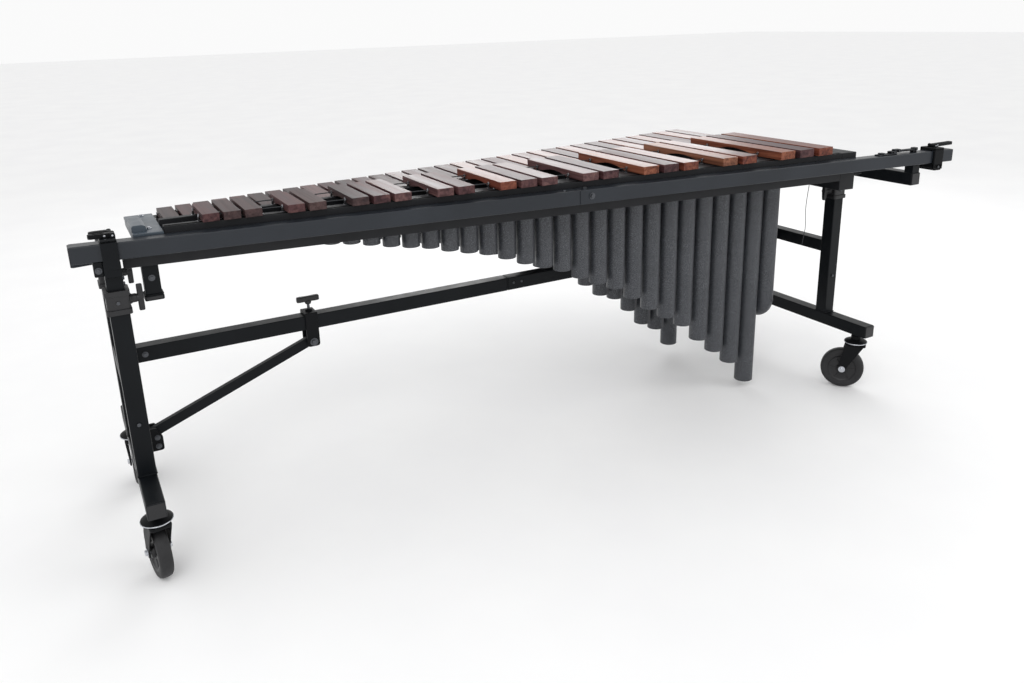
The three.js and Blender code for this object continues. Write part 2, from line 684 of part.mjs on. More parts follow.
// ---- rolling base -------------------------------------------------------------------------
function footBeam(x, y0, y1, stems) {
  const h = LEG_BOX / 2;
  const tube = box(x - h, x + h, y0, y1, BEAM_BOTTOM, BEAM_TOP).subtract(box(
    x - h + WALL, x + h - WALL, y0 + WALL, y1 - WALL, BEAM_BOTTOM + WALL, BEAM_TOP - WALL,
  ));
  return stems.reduce(
    (beam, y) => beam.subtract(cylinder(8, BEAM_BOTTOM - 1, BEAM_BOTTOM + WALL + 1, x, y, 12)),
    tube,
  );
}
const TREBLE_CASTERS = [-300, 225];
const BASS_CASTERS = [-418, 420];
place('foot_beam_treble', footBeam(TREBLE_LEG_X, -360, 285, TREBLE_CASTERS), blackPaint);
place('foot_beam_bass', footBeam(BASS_LEG_X, -473, 475, BASS_CASTERS), blackPaint);

// Uprights are open tubes. The masts slide in them and the collars clamp the masts.
function upright(x, y) {
  const h = LEG_BOX / 2;
  const outside = box(x - h, x + h, y - h, y + h, BEAM_TOP + GAP, COLLAR_BOTTOM - GAP);
  const i = h - WALL;
  return outside.subtract(box(x - i, x + i, y - i, y + i, BEAM_TOP - 1, COLLAR_BOTTOM + 1));
}
function collar(x, y, inward) {
  const h = COLLAR_SIZE / 2;
  const i = MAST_BOX / 2 + GAP;
  const ring = box(x - h, x + h, y - h, y + h, COLLAR_BOTTOM, COLLAR_TOP)
    .subtract(box(x - i, x + i, y - i, y + i, COLLAR_BOTTOM - 1, COLLAR_TOP + 1));
  const zc = (COLLAR_BOTTOM + COLLAR_TOP) / 2;
  return ring.subtract(rod([x + inward * (i - 2), y, zc], [x + inward * (h + 5), y, zc], 5.3));
}
// A screw with a crosswise grip: it threads into the collar and presses on the mast.
function clampScrew(x, y, inward) {
  const zc = (COLLAR_BOTTOM + COLLAR_TOP) / 2;
  const start = x + inward * (MAST_BOX / 2 + 2 * GAP);
  const end = x + inward * (COLLAR_SIZE / 2 + 16);
  const low = Math.min(end, end + inward * 14);
  return join([
    rod([start, y, zc], [end + inward * 2, y, zc], 4.6),
    box(low, low + 14, y - 8, y + 8, zc - 34, zc + 34),
  ]);
}
const legs = [
  ['treble_near', TREBLE_LEG_X, TREBLE_LEGS[0], 1],
  ['treble_far', TREBLE_LEG_X, TREBLE_LEGS[1], 1],
  ['bass_near', BASS_LEG_X, BASS_LEGS[0], -1],
  ['bass_far', BASS_LEG_X, BASS_LEGS[1], -1],
];
for (const [name, x, y, inward] of legs) {
  place(`upright_${name}`, upright(x, y), blackPaint);
  place(`collar_${name}`, collar(x, y, inward), plasticBlack);
  place(`collar_screw_${name}`, clampScrew(x, y, inward), plasticBlack);
}

function crossbar(x, y0, y1) {
  const h = LEG_BOX / 2 - 1;
  const tube = box(x - h, x + h, y0, y1, CROSSBAR_BOTTOM, CROSSBAR_TOP);
  const i = h - WALL;
  return tube.subtract(box(
    x - i, x + i, y0 - 1, y1 + 1, CROSSBAR_BOTTOM + WALL, CROSSBAR_TOP - WALL,
  ));
}
const reachOfLeg = LEG_BOX / 2 + GAP;
place('crossbar_treble', crossbar(
  TREBLE_LEG_X, TREBLE_LEGS[0] + reachOfLeg, TREBLE_LEGS[1] - reachOfLeg,
), blackPaint);
place('crossbar_bass', crossbar(
  BASS_LEG_X, BASS_LEGS[0] + reachOfLeg, BASS_LEGS[1] - reachOfLeg,
), blackPaint);

function stretcher(x0, x1) {
  const outside = box(x0, x1, STRETCHER_NEAR, STRETCHER_FAR, CROSSBAR_BOTTOM, CROSSBAR_TOP);
  return outside.subtract(box(
    x0 - 1, x1 + 1, STRETCHER_NEAR + WALL, STRETCHER_FAR - WALL,
    CROSSBAR_BOTTOM + WALL, CROSSBAR_TOP - WALL,
  ));
}
const crossbarHalf = LEG_BOX / 2 - 1 + GAP;
place('stretcher_treble', stretcher(TREBLE_LEG_X + crossbarHalf, STRETCHER_JOIN), blackPaint);
place('stretcher_bass', stretcher(STRETCHER_JOIN + GAP, BASS_LEG_X - crossbarHalf), blackPaint);

// ---- diagonal brace -----------------------------------------------------------------------
const PIVOT = { x: -797, z: 450 };
const BRACE_FOOT = { x: -1259, z: 274 };
const braceMiddle = (STRETCHER_NEAR + STRETCHER_FAR) / 2;
const BRACE_DEPTH = 28;
const BRACE_THICK = 20;
const PIVOT_RADIUS = 4;

const pivotHole = (radius) => rod(
  [PIVOT.x, STRETCHER_NEAR - 20, PIVOT.z], [PIVOT.x, STRETCHER_FAR + 20, PIVOT.z], radius, 12,
);
function braceClamp() {
  const cheek = 6;
  const outside = box(
    PIVOT.x - 19, PIVOT.x + 18, STRETCHER_NEAR - cheek, STRETCHER_FAR + cheek, 436, 540,
  );
  const channel = box(
    PIVOT.x - 30, PIVOT.x + 30, STRETCHER_NEAR - GAP, STRETCHER_FAR + GAP, 430, CROSSBAR_TOP + GAP,
  );
  const screwHole = cylinder(4.4, 520, 545, PIVOT.x, braceMiddle, 12);
  return outside.subtract(channel).subtract(pivotHole(PIVOT_RADIUS + GAP)).subtract(screwHole);
}
place('brace_clamp', braceClamp(), blackPaint);
place('brace_clamp_screw', join([
  cylinder(4, CROSSBAR_TOP + 2 * GAP, 572, PIVOT.x, braceMiddle, 12),
  box(PIVOT.x - 33, PIVOT.x + 33, braceMiddle - 8, braceMiddle + 8, 568, 585),
]), plasticBlack);

const boltEnd = 10;
place('brace_pivot_bolt', join([
  rod(
    [PIVOT.x, STRETCHER_NEAR - boltEnd, PIVOT.z], [PIVOT.x, STRETCHER_FAR + boltEnd, PIVOT.z],
    PIVOT_RADIUS, 12,
  ),
  rod(
    [PIVOT.x, STRETCHER_NEAR - boltEnd - 2, PIVOT.z], [PIVOT.x, STRETCHER_NEAR - 6.4, PIVOT.z], 8, 6,
  ),
  rod(
    [PIVOT.x, STRETCHER_FAR + 6.4, PIVOT.z], [PIVOT.x, STRETCHER_FAR + boltEnd + 2, PIVOT.z], 8, 6,
  ),
]), steel);

function brace() {
  const length = Math.hypot(PIVOT.x - BRACE_FOOT.x, PIVOT.z - BRACE_FOOT.z);
  const slope = Math.atan2(PIVOT.z - BRACE_FOOT.z, PIVOT.x - BRACE_FOOT.x);
  const geometry = new THREE.BoxGeometry(length + 24, BRACE_THICK, BRACE_DEPTH);
  geometry.rotateY(-slope);
  geometry.translate(
    (PIVOT.x + BRACE_FOOT.x) / 2, braceMiddle, (PIVOT.z + BRACE_FOOT.z) / 2,
  );
  return solid(geometry).subtract(pivotHole(PIVOT_RADIUS + GAP));
}
place('diagonal_brace', brace(), blackPaint);

const beamFaceX = TREBLE_LEG_X + LEG_BOX / 2;
place('brace_foot_bracket', join([
  box(beamFaceX + GAP, beamFaceX + 6, STRETCHER_NEAR, STRETCHER_FAR, 214, 254),
  box(beamFaceX + GAP, beamFaceX + 40, STRETCHER_NEAR, STRETCHER_NEAR + 8, 222, 290),
  box(beamFaceX + GAP, beamFaceX + 40, STRETCHER_FAR - 8, STRETCHER_FAR, 222, 290),
]), blackPaint);

// ---- casters ------------------------------------------------------------------------------
const FORK_CROWN = [166, 176];
const RACE = { radius: 40, low: 175, high: 189 };
const NECK = { radius: 17, high: BEAM_BOTTOM - GAP };
const STEM = { radius: 7, high: 236 };
const FORK_HALF = 27;
const FORK_PLATE = 4;

function fork() {
  const cheek = (side) => {
    const shape = new THREE.Shape([
      new THREE.Vector2(-34, FORK_CROWN[1]), new THREE.Vector2(34, FORK_CROWN[1]),
      new THREE.Vector2(CASTER_TRAIL + 17, WHEEL_RADIUS + 4),
      new THREE.Vector2(CASTER_TRAIL + 9, WHEEL_RADIUS - 15),
      new THREE.Vector2(CASTER_TRAIL - 9, WHEEL_RADIUS - 15),
      new THREE.Vector2(CASTER_TRAIL - 17, WHEEL_RADIUS + 4),
    ].reverse());
    const geometry = new THREE.ExtrudeGeometry(shape, { depth: FORK_PLATE, bevelEnabled: false });
    geometry.rotateX(Math.PI / 2);
    geometry.translate(0, side > 0 ? FORK_HALF : FORK_PLATE - FORK_HALF, 0);
    return solid(geometry);
  };
  return join([
    cheek(1), cheek(-1),
    box(-34, 34, -FORK_HALF, FORK_HALF, FORK_CROWN[0], FORK_CROWN[1]),
    cylinder(RACE.radius, RACE.low, RACE.high, 0, 0, 20),
    cylinder(NECK.radius, RACE.high - 1, NECK.high, 0, 0, 14),
    cylinder(STEM.radius, NECK.high - 1, STEM.high, 0, 0, 12),
    rod([CASTER_TRAIL, -FORK_HALF + 1, WHEEL_RADIUS], [CASTER_TRAIL, FORK_HALF - 1, WHEEL_RADIUS],
      AXLE_RADIUS, 12),
  ]);
}

// Tyre, rim and hub with a bore for the axle. A flat of the many-sided tread is at the bottom.
function wheel() {
  const half = WHEEL_WIDTH / 2;
  const r = WHEEL_RADIUS / Math.cos(Math.PI / WHEEL_SIDES);
  const profile = [
    [AXLE_RADIUS + 0.5, -half - 3], [18, -half - 3], [20, -half + 4], [50, -half + 4],
    [53, -half], [r - 6, -half], [r, -half + 6], [r, half - 6], [r - 6, half], [53, half],
    [50, half - 4], [20, half - 4], [18, half + 3], [AXLE_RADIUS + 0.5, half + 3],
  ].map(([radius, y]) => new THREE.Vector2(radius, y));
  profile.push(profile[0].clone());
  const geometry = new THREE.LatheGeometry(profile, WHEEL_SIDES, Math.PI / WHEEL_SIDES);
  geometry.translate(CASTER_TRAIL, 0, WHEEL_RADIUS);
  geometry.computeVertexNormals();
  return solid(geometry);
}

// Where each caster stands and which way it trails, in degrees from +X.
const casters = [
  ['treble_near', TREBLE_LEG_X, TREBLE_CASTERS[0], 99],
  ['treble_far', TREBLE_LEG_X, TREBLE_CASTERS[1], 84],
  ['bass_near', BASS_LEG_X, BASS_CASTERS[0], 128],
  ['bass_far', BASS_LEG_X, BASS_CASTERS[1], 36],
];
for (const [name, x, y, trail] of casters) {
  const swivel = new THREE.Group();
  swivel.position.set(x, y, 0);
  swivel.rotation.z = THREE.MathUtils.degToRad(trail);
  marimba.add(swivel);
  place(`caster_fork_${name}`, fork(), blackPaint, swivel);
  place(`caster_wheel_${name}`, wheel(), tyreRubber, swivel);
}

export default marimba;
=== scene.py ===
"""Looks for a 4 1/2-octave concert marimba on a rolling frame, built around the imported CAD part.

Lengths in this script are millimetres, in the part's frame: +X to the bass end, +Y to the
player, +Z up. They turn into Blender's metres where a piece is finished.
"""

import math

import bmesh
import bpy
from mathutils import Matrix, Vector


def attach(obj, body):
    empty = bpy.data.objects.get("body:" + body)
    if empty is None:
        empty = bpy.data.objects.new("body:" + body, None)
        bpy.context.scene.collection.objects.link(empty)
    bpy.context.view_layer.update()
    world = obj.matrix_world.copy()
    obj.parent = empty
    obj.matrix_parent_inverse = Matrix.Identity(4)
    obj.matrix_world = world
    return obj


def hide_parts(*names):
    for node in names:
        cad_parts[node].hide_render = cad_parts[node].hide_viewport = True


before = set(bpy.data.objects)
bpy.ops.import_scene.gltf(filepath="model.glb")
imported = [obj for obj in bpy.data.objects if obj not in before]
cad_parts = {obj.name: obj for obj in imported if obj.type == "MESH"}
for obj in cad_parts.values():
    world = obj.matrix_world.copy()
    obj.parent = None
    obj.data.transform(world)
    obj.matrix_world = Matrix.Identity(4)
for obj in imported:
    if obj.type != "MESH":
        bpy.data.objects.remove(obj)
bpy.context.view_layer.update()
MM = 0.001

# ---- driving dimensions, as in the CAD part ----
HALF_LENGTH = 1390
RAIL_BASS_END = 1366
RAIL_JOIN = -81
RAIL_TOP = 871.3
RAIL_BOX = 42.4
RAIL_BOTTOM = RAIL_TOP - RAIL_BOX
GAP = 0.3
CAP_THICK = 4
CAP_INSET = 1.2
NATURALS = 33
SLOTS = 31
TOP_NOTE = 96
KEY_START = -1165.7
KEY_PITCH = 47.7
PITCH_GROWTH = 0.46
BAR_FILL = 0.82
TUBE_FILL = 0.87
NODE_SHARE = 0.22
ACCIDENTAL_UNDER = 890.5
NATURAL_UNDER = 862
CORD_ABOVE_UNDERSIDE = 11
CORD_RADIUS = 1.5
OUTER_TOP = 888.5
LOW_TOP = 860
KEY_RAIL_START = -1177
KEY_RAIL_END = 914
SKIRT_START = -1278
SKIRT_BOTTOM = 795
SKIRT_TOP = 868
SKIRT_THICK = 13
BAR_SPLIT_SLOT = 17
BAR_SPLIT_NATURAL = 19
LEG_BOX = 45
MAST_BOX = 38
TREBLE_LEG_X = -1304
BASS_LEG_X = 1082
BOARD_END = 976
END_BOARD_BOTTOM = 762
BEAM_BOTTOM = 212
BEAM_TOP = 256
CROSSBAR_BOTTOM = 488
CROSSBAR_TOP = 531
COLLAR_BOTTOM = 692
COLLAR_TOP = 752
CLAMP_TOP = 882
FAR_DROP = 70
FAR_TOP = RAIL_TOP - FAR_DROP
FAR_BOTTOM = RAIL_BOTTOM - FAR_DROP
FAR_CLAMP_TOP = 830
FAR_PIVOT_X = -1286
STRETCHER_NEAR = -14
STRETCHER_FAR = 29
STRETCHER_JOIN = -140
WHEEL_RADIUS = 75
CASTER_TRAIL = 38

X = Vector((1, 0, 0))
Y = Vector((0, 1, 0))
Z = Vector((0, 0, 1))


def slanted(at_zero, slope):
    """A straight line in plan."""
    return lambda x: at_zero + slope * x


def shifted(line, offset):
    return lambda x: line(x) + offset


def between(line, other, share):
    """The line that lies a share of the way from one line to another."""
    return lambda x: line(x) + share * (other(x) - line(x))


# Outer faces of the rails, ends of the bars, lines of the posts and of the tubes
near_face = slanted(-364.7, -0.1113)
far_face = slanted(302.99, 0.1585)
accidental_front = slanted(-334.7, -0.1113)
accidental_back = slanted(-8.8, 0.05)
natural_front = shifted(accidental_back, -12)
natural_back = slanted(265.2, 0.1585)
accidental_near = between(accidental_front, accidental_back, NODE_SHARE)
accidental_far = between(accidental_back, accidental_front, NODE_SHARE)
natural_near = between(natural_front, natural_back, NODE_SHARE)
natural_far = between(natural_back, natural_front, NODE_SHARE)
accidental_middle = between(accidental_front, accidental_back, 0.5)
natural_middle = between(natural_front, natural_back, 0.5)


def edge(i):
    """Where natural bar i begins, counted from the treble end."""
    return KEY_START + KEY_PITCH * i + PITCH_GROWTH * i * i


def midi_of_natural(i):
    return TOP_NOTE - 12 * (i // 7) - (0, 1, 3, 5, 7, 8, 10)[i % 7]


def slot_has_bar(k):
    """Whether an accidental lies between naturals k + 1 and k + 2."""
    return midi_of_natural(k + 1) - midi_of_natural(k + 2) == 2


def slot_pitch(k):
    return (edge(k + 3) - edge(k + 1)) / 2


def share_of(x):
    """0 at the treble end of the keyboard, 1 at the bass end."""
    return (x - KEY_START) / (edge(NATURALS) - KEY_START)


def thickness(x):
    return 20 + 6 * share_of(x)


# ---- camera ----
YAW = math.radians(28.482)
PITCH = math.radians(16.953)
ROLL = math.radians(-1.569)
forward = Vector((
    math.sin(YAW) * math.cos(PITCH), math.cos(YAW) * math.cos(PITCH), -math.sin(PITCH),
))
level = forward.cross(Z).normalized()
upright = level.cross(forward)
right = level * math.cos(ROLL) + upright * math.sin(ROLL)
up = upright * math.cos(ROLL) - level * math.sin(ROLL)
camera = bpy.data.objects.new("camera", bpy.data.cameras.new("camera"))
bpy.context.scene.collection.objects.link(camera)
camera.matrix_world = Matrix.Translation((-1.3887, -2.3295, 1.352)) @ Matrix((
    (right.x, up.x, -forward.x, 0),
    (right.y, up.y, -forward.y, 0),
    (right.z, up.z, -forward.z, 0),
    (0, 0, 0, 1),
))
camera.data.sensor_width = 36
camera.data.lens = 29.51
camera.data.shift_x = 0.0023
camera.data.shift_y = -0.0674
camera.data.clip_end = 200
bpy.context.scene.camera = camera


# ---- materials ----
class Nodes:
    """A material under construction, with its Principled shader."""

    def __init__(self, name, metallic=0.0, coat=0.0, coat_roughness=0.2, specular=0.5):
        self.material = bpy.data.materials.new(name)
        self.material.use_nodes = True
        self.tree = self.material.node_tree
        self.shader = self.tree.nodes["Principled BSDF"]
        for key, value in (
            ("Metallic", metallic), ("Coat Weight", coat), ("Coat Roughness", coat_roughness),
            ("Specular IOR Level", specular),
        ):
            self.shader.inputs[key].default_value = value
        self.coordinates = self.add("ShaderNodeTexCoord").outputs["Object"]

    def add(self, kind, inputs=None, **settings):
        """A node with its settings, its inputs each set to a value or joined to a socket."""
        node = self.tree.nodes.new(kind)
        for key, value in settings.items():
            setattr(node, key, value)
        for key, value in (inputs or {}).items():
            if hasattr(value, "links"):
                self.link(value, node.inputs[key])
            else:
                node.inputs[key].default_value = value
        return node

    def link(self, source, target):
        self.tree.links.new(source, target)

    def stretched(self, scale, shift=(0, 0, 0)):
        mapping = self.add("ShaderNodeMapping", {
            "Scale": scale, "Location": shift, "Vector": self.coordinates,
        })
        return mapping.outputs["Vector"]

    def noise(self, scale, detail=4.0, roughness=0.55, vector=None, distortion=0.0):
        node = self.add("ShaderNodeTexNoise", {
            "Scale": scale, "Detail": detail, "Roughness": roughness, "Distortion": distortion,
            "Vector": vector or self.coordinates,
        })
        return node.outputs["Fac"]

    def ramp(self, factor, stops):
        """Colours at positions along a factor."""
        node = self.add("ShaderNodeValToRGB", {"Fac": factor})
        elements = node.color_ramp.elements
        while len(elements) < len(stops):
            elements.new(0.5)
        for element, (position, colour) in zip(elements, stops):
            element.position = position
            element.color = (*colour, 1)
        return node.outputs["Color"]

    def multiplied(self, share, colour, other):
        """A colour darkened by another, by a share."""
        node = self.add(
            "ShaderNodeMix", {0: share, 6: colour, 7: other}, data_type="RGBA",
            blend_type="MULTIPLY",
        )
        return node.outputs[2]

    def span(self, factor, low, high):
        """A noise spread over a range of values."""
        node = self.add("ShaderNodeMapRange", {
            "Value": factor, "From Min": 0.3, "From Max": 0.7, "To Min": low, "To Max": high,
        })
        return node.outputs["Result"]

    def bump(self, height, strength, distance):
        node = self.add("ShaderNodeBump", {
            "Height": height, "Strength": strength, "Distance": distance,
        })
        self.link(node.outputs["Normal"], self.shader.inputs["Normal"])

    def finish(self, colour, roughness):
        self.link(colour, self.shader.inputs["Base Color"])
        self.link(roughness, self.shader.inputs["Roughness"])
        return self.material


def powder_coat(name, colour, gloss, specular=0.32):
    """Baked paint with a fine orange peel, dusty in broad soft patches."""
    n = Nodes(name, specular=specular)
    patches = n.noise(5, 5)
    lighter = tuple(c * 1.35 + 0.001 for c in colour)
    shade = n.ramp(patches, [(0.35, colour), (0.75, lighter)])
    n.bump(n.noise(900, 2), 0.12, 0.0004)
    return n.finish(shade, n.span(n.noise(22, 6), gloss - 0.05, gloss + 0.08))


def hammered_coat(name):
    """Dark grey coat of fine pits with paler speckles."""
    n = Nodes(name, metallic=0.15, specular=0.55)
    cells = n.add("ShaderNodeTexVoronoi", {"Scale": 330, "Vector": n.coordinates}, feature="F1")
    speckle = n.noise(520, 3, 0.7)
    base = n.ramp(speckle, [
        (0.36, (0.016, 0.018, 0.022)), (0.52, (0.042, 0.045, 0.052)), (0.68, (0.155, 0.165, 0.18)),
    ])
    cloud = n.ramp(n.noise(7, 4), [(0.3, (0.82, 0.82, 0.84)), (0.7, (1.0, 1.0, 1.0))])
    shade = n.multiplied(1.0, base, cloud)
    n.bump(cells.outputs["Distance"], 0.45, 0.0008)
    return n.finish(shade, n.span(n.noise(40, 4), 0.36, 0.5))


def rosewood(name, dark, mid, light, roughness, coat, seed):
    """Lacquered rosewood with its grain along the bar."""
    n = Nodes(name, coat=coat, coat_roughness=0.2, specular=0.18)
    shift = (seed * 3.1, seed * 1.7, seed * 2.3)
    along = n.stretched((38, 1.6, 38), shift)
    fibre = n.stretched((420, 9, 420), shift)
    figure = n.noise(1.0, 8, 0.62, along, 0.9)
    pores = n.noise(1.0, 3, 0.6, fibre)
    shade = n.ramp(figure, [(0.34, dark), (0.5, mid), (0.66, light)])
    streaks = n.ramp(n.noise(1.0, 4, 0.5, n.stretched((120, 2.2, 120), shift)), [
        (0.40, (0.55, 0.5, 0.5)), (0.52, (1, 1, 1)),
    ])
    shade = n.multiplied(0.75, shade, streaks)
    flecks = n.ramp(pores, [(0.34, (0.6, 0.55, 0.55)), (0.46, (1, 1, 1))])
    shade = n.multiplied(0.6, shade, flecks)
    n.bump(pores, 0.10, 0.0003)
    return n.finish(shade, n.span(figure, roughness - 0.05, roughness + 0.07))


def metal(name, colour, roughness):
    """Plated or bare metal with fine turned scratches."""
    n = Nodes(name, metallic=1.0)
    scratch = n.noise(1.0, 4, 0.6, n.stretched((300, 300, 1500)))
    shade = n.ramp(scratch, [(0.3, tuple(c * 0.72 for c in colour)), (0.65, colour)])
    n.bump(scratch, 0.06, 0.0002)
    return n.finish(shade, n.span(scratch, roughness - 0.06, roughness + 0.1))


def moulded(name, colour, roughness, grain=1400):
    """Moulded plastic or rubber with a fine spark-eroded grain."""
    n = Nodes(name, specular=0.45)
    shade = n.ramp(n.noise(9, 5), [(0.3, colour), (0.75, tuple(c * 1.7 + 0.002 for c in colour))])
    n.bump(n.noise(grain, 2), 0.2, 0.0004)
    return n.finish(shade, n.span(n.noise(60, 4), roughness - 0.06, roughness + 0.08))


def braid(name, colour):
    """Twisted cord, its strands running round it."""
    n = Nodes(name, specular=0.2)
    twist = n.add(
        "ShaderNodeTexWave", {"Scale": 260, "Distortion": 1.5, "Vector": n.coordinates},
        wave_type="BANDS", bands_direction="DIAGONAL",
    )
    shade = n.ramp(twist.outputs["Fac"], [(0.2, tuple(c * 0.5 for c in colour)), (0.8, colour)])
    n.bump(twist.outputs["Fac"], 0.5, 0.0006)
    return n.finish(shade, n.span(n.noise(200, 2), 0.75, 0.95))


RAIL_PAINT = powder_coat("rail_paint", (0.0120, 0.0148, 0.0195), 0.34, 0.34)
PAINT = powder_coat("frame_paint", (0.0034, 0.0044, 0.0056), 0.38, 0.14)
PAINT_FLAT = powder_coat("bracket_paint", (0.0030, 0.0034, 0.0042), 0.46, 0.12)
BOARD = powder_coat("key_rail_paint", (0.0055, 0.006, 0.0075), 0.48, 0.28)
CASTING = powder_coat("grey_casting_paint", (0.046, 0.060, 0.076), 0.34, 0.4)
COAT = hammered_coat("hammered_grey")
PLASTIC = moulded("black_moulding", (0.0055, 0.0055, 0.0065), 0.42)
RUBBER = moulded("tyre_rubber", (0.008, 0.008, 0.009), 0.6)
STEEL = metal("zinc_steel", (0.62, 0.64, 0.68), 0.26)
DARK_STEEL = metal("dark_steel", (0.10, 0.105, 0.115), 0.34)
STRING = braid("grey_cord", (0.055, 0.057, 0.062))

WOOD_TONES = {
    "ash_brown": ((0.030, 0.019, 0.020), (0.060, 0.036, 0.036), (0.085, 0.052, 0.050), 0.42, 0.0),
    "plum": ((0.035, 0.015, 0.018), (0.075, 0.033, 0.035), (0.110, 0.052, 0.050), 0.42, 0.02),
    "mauve": ((0.050, 0.023, 0.026), (0.105, 0.050, 0.050), (0.155, 0.082, 0.076), 0.38, 0.06),
    "russet": ((0.060, 0.016, 0.011), (0.150, 0.040, 0.024), (0.215, 0.072, 0.040), 0.36, 0.08),
    "amber": ((0.085, 0.024, 0.012), (0.195, 0.060, 0.032), (0.285, 0.105, 0.056), 0.38, 0.07),
    "tan": ((0.105, 0.040, 0.022), (0.225, 0.090, 0.050), (0.315, 0.142, 0.086), 0.40, 0.05),
}
WOODS = {
    name: rosewood(f"wood_{name}", *tones, seed)
    for seed, (name, tones) in enumerate(WOOD_TONES.items(), 1)
}


# ---- shapes ----
def walls(*rings):
    """Faces between rings of point numbers, each to the next. A ring of one point is a tip."""
    faces = []
    for a, b in zip(rings, rings[1:]):
        n = max(len(a), len(b))
        for k in range(n if n > 1 else 0):
            m = (k + 1) % n
            if len(a) == 1:
                faces.append([a[0], b[k], b[m]])
            elif len(b) == 1:
                faces.append([a[k], a[m], b[0]])
            else:
                faces.append([a[k], a[m], b[m], b[k]])
    return faces


def numbered(count, size):
    """The point numbers of a count of rings, each of one size."""
    return [list(range(i * size, (i + 1) * size)) for i in range(count)]


class Shape:
    """Collects solids, in millimetres, into one mesh."""

    def __init__(self):
        self.bm = bmesh.new()
        self.move = Matrix.Identity(4)

    def solid(self, points, faces, slot=0, soft=0.0, segments=2, limit=0.6):
        vertices = [self.bm.verts.new(self.move @ Vector(p)) for p in points]
        made = [self.bm.faces.new([vertices[i] for i in face]) for face in faces]
        for face in made:
            face.material_index = slot
        bmesh.ops.recalc_face_normals(self.bm, faces=made)
        if soft:
            sharp = {e for f in made for e in f.edges if e.calc_face_angle(0) > limit}
            bmesh.ops.bevel(
                self.bm, geom=list(sharp), offset=soft, segments=segments, profile=0.5,
                affect="EDGES", clamp_overlap=True,
            )

    def extrude(self, outline, along, **kw):
        """A closed solid over an outline of 3-D points, pushed along a vector."""
        outline = [Vector(p) for p in outline]
        rings = numbered(2, len(outline))
        points = outline + [p + Vector(along) for p in outline]
        self.solid(points, rings + walls(*rings), **kw)

    def board(self, x0, x1, low, high, z0, z1, **kw):
        """A board in plan between two straight lines low(x) and high(x)."""
        outline = [(x0, low(x0), z0), (x1, low(x1), z0), (x1, high(x1), z0), (x0, high(x0), z0)]
        self.extrude(outline, (0, 0, z1 - z0), **kw)

    def box(self, x0, x1, y0, y1, z0, z1, **kw):
        self.board(x0, x1, slanted(y0, 0), slanted(y1, 0), z0, z1, **kw)

    def column(self, x, y, half, z0, z1, **kw):
        """An upright square box."""
        self.box(x - half, x + half, y - half, y + half, z0, z1, **kw)

    def plate(self, origin, u, v, outline, thick, **kw):
        """An outline of (a, b) points in the plane of u and v, centred on origin in thickness."""
        w = u.cross(v)
        points = [Vector(origin) + u * a + v * b - w * thick / 2 for a, b in outline]
        self.extrude(points, w * thick, **kw)

    def frame_plate(self, origin, u, v, outside, inside, thick):
        """A plate with a hole. Both outlines have the same number of points."""
        origin = Vector(origin)
        w = u.cross(v)
        points = []
        for side in (-0.5, 0.5):
            for outline in (outside, inside):
                points += [origin + u * a + v * b + w * thick * side for a, b in outline]
        low_out, low_in, high_out, high_in = numbered(4, len(outside))
        faces = walls(low_out, low_in, high_in, high_out, low_out)
        self.solid(points, faces, soft=min(1.0, thick / 6), limit=1.2)

    def lathe(self, profile, origin, axis, segments, **kw):
        """Turns (radius, height) points about a unit axis. Radius 0 closes the end."""
        origin = Vector(origin)
        u = axis.orthogonal().normalized()
        v = axis.cross(u)
        points = []
        rings = []
        for radius, height in profile:
            if radius == 0:
                rings.append([len(points)])
                points.append(origin + axis * height)
                continue
            rings.append(list(range(len(points), len(points) + segments)))
            for k in range(segments):
                angle = 2 * math.pi * (k + 0.5) / segments
                out = u * math.cos(angle) + v * math.sin(angle)
                points.append(origin + axis * height + out * radius)
        self.solid(points, walls(*rings), **kw)

    def pipe(self, points, radius, sides=12, slot=0):
        """A round pipe along a line of points, closed at its ends."""
        points = [Vector(p) for p in points]
        ahead = points[1:] + points[-1:]
        behind = points[:1] + points[:-1]
        headings = [(b - a).normalized() for a, b in zip(behind, ahead)]
        side = headings[0].orthogonal().normalized()
        made = []
        for point, heading in zip(points, headings):
            side = (side - heading * side.dot(heading)).normalized()
            other = heading.cross(side)
            for k in range(sides):
                angle = 2 * math.pi * k / sides
                made.append(
                    point + side * radius * math.cos(angle) + other * radius * math.sin(angle)
                )
        rings = numbered(len(points), sides)
        self.solid(made, [rings[0], rings[-1]] + walls(*rings), slot)

    def rod(self, origin, axis, radius, low, high, segments=24, **kw):
        """A plain round rod between two heights along an axis."""
        profile = [(0, low), (radius, low), (radius, high), (0, high)]
        self.lathe(profile, origin, axis, segments, **kw)

    def ring(self, origin, axis, inner, outer, low, high, segments=40):
        """A plain round ring between two heights along an axis."""
        profile = [(inner, low), (outer, low), (outer, high), (inner, high), (inner, low)]
        self.lathe(profile, origin, axis, segments)

    def bolt(self, origin, axis, size, slot=0, washer=True):
        """A hexagon head on a washer, standing out along axis."""
        if washer:
            self.rod(origin, axis, size * 0.92, 0, 1.2, slot=slot, soft=0.3)
        base = 1.1 if washer else 0
        radius = size * 0.577
        self.lathe([
            (0, base), (radius, base), (radius, base + size * 0.36),
            (radius * 0.86, base + size * 0.42), (0, base + size * 0.42),
        ], origin, axis, 6, slot=slot)

    def screw(self, origin, axis, radius, slot=0):
        """A low domed screw head with a socket."""
        self.lathe([
            (0, radius * 0.12), (radius * 0.34, radius * 0.12), (radius * 0.38, radius * 0.52),
            (radius * 0.75, radius * 0.42), (radius, radius * 0.1), (radius, 0), (0, 0),
        ], origin, axis, 18, slot=slot)


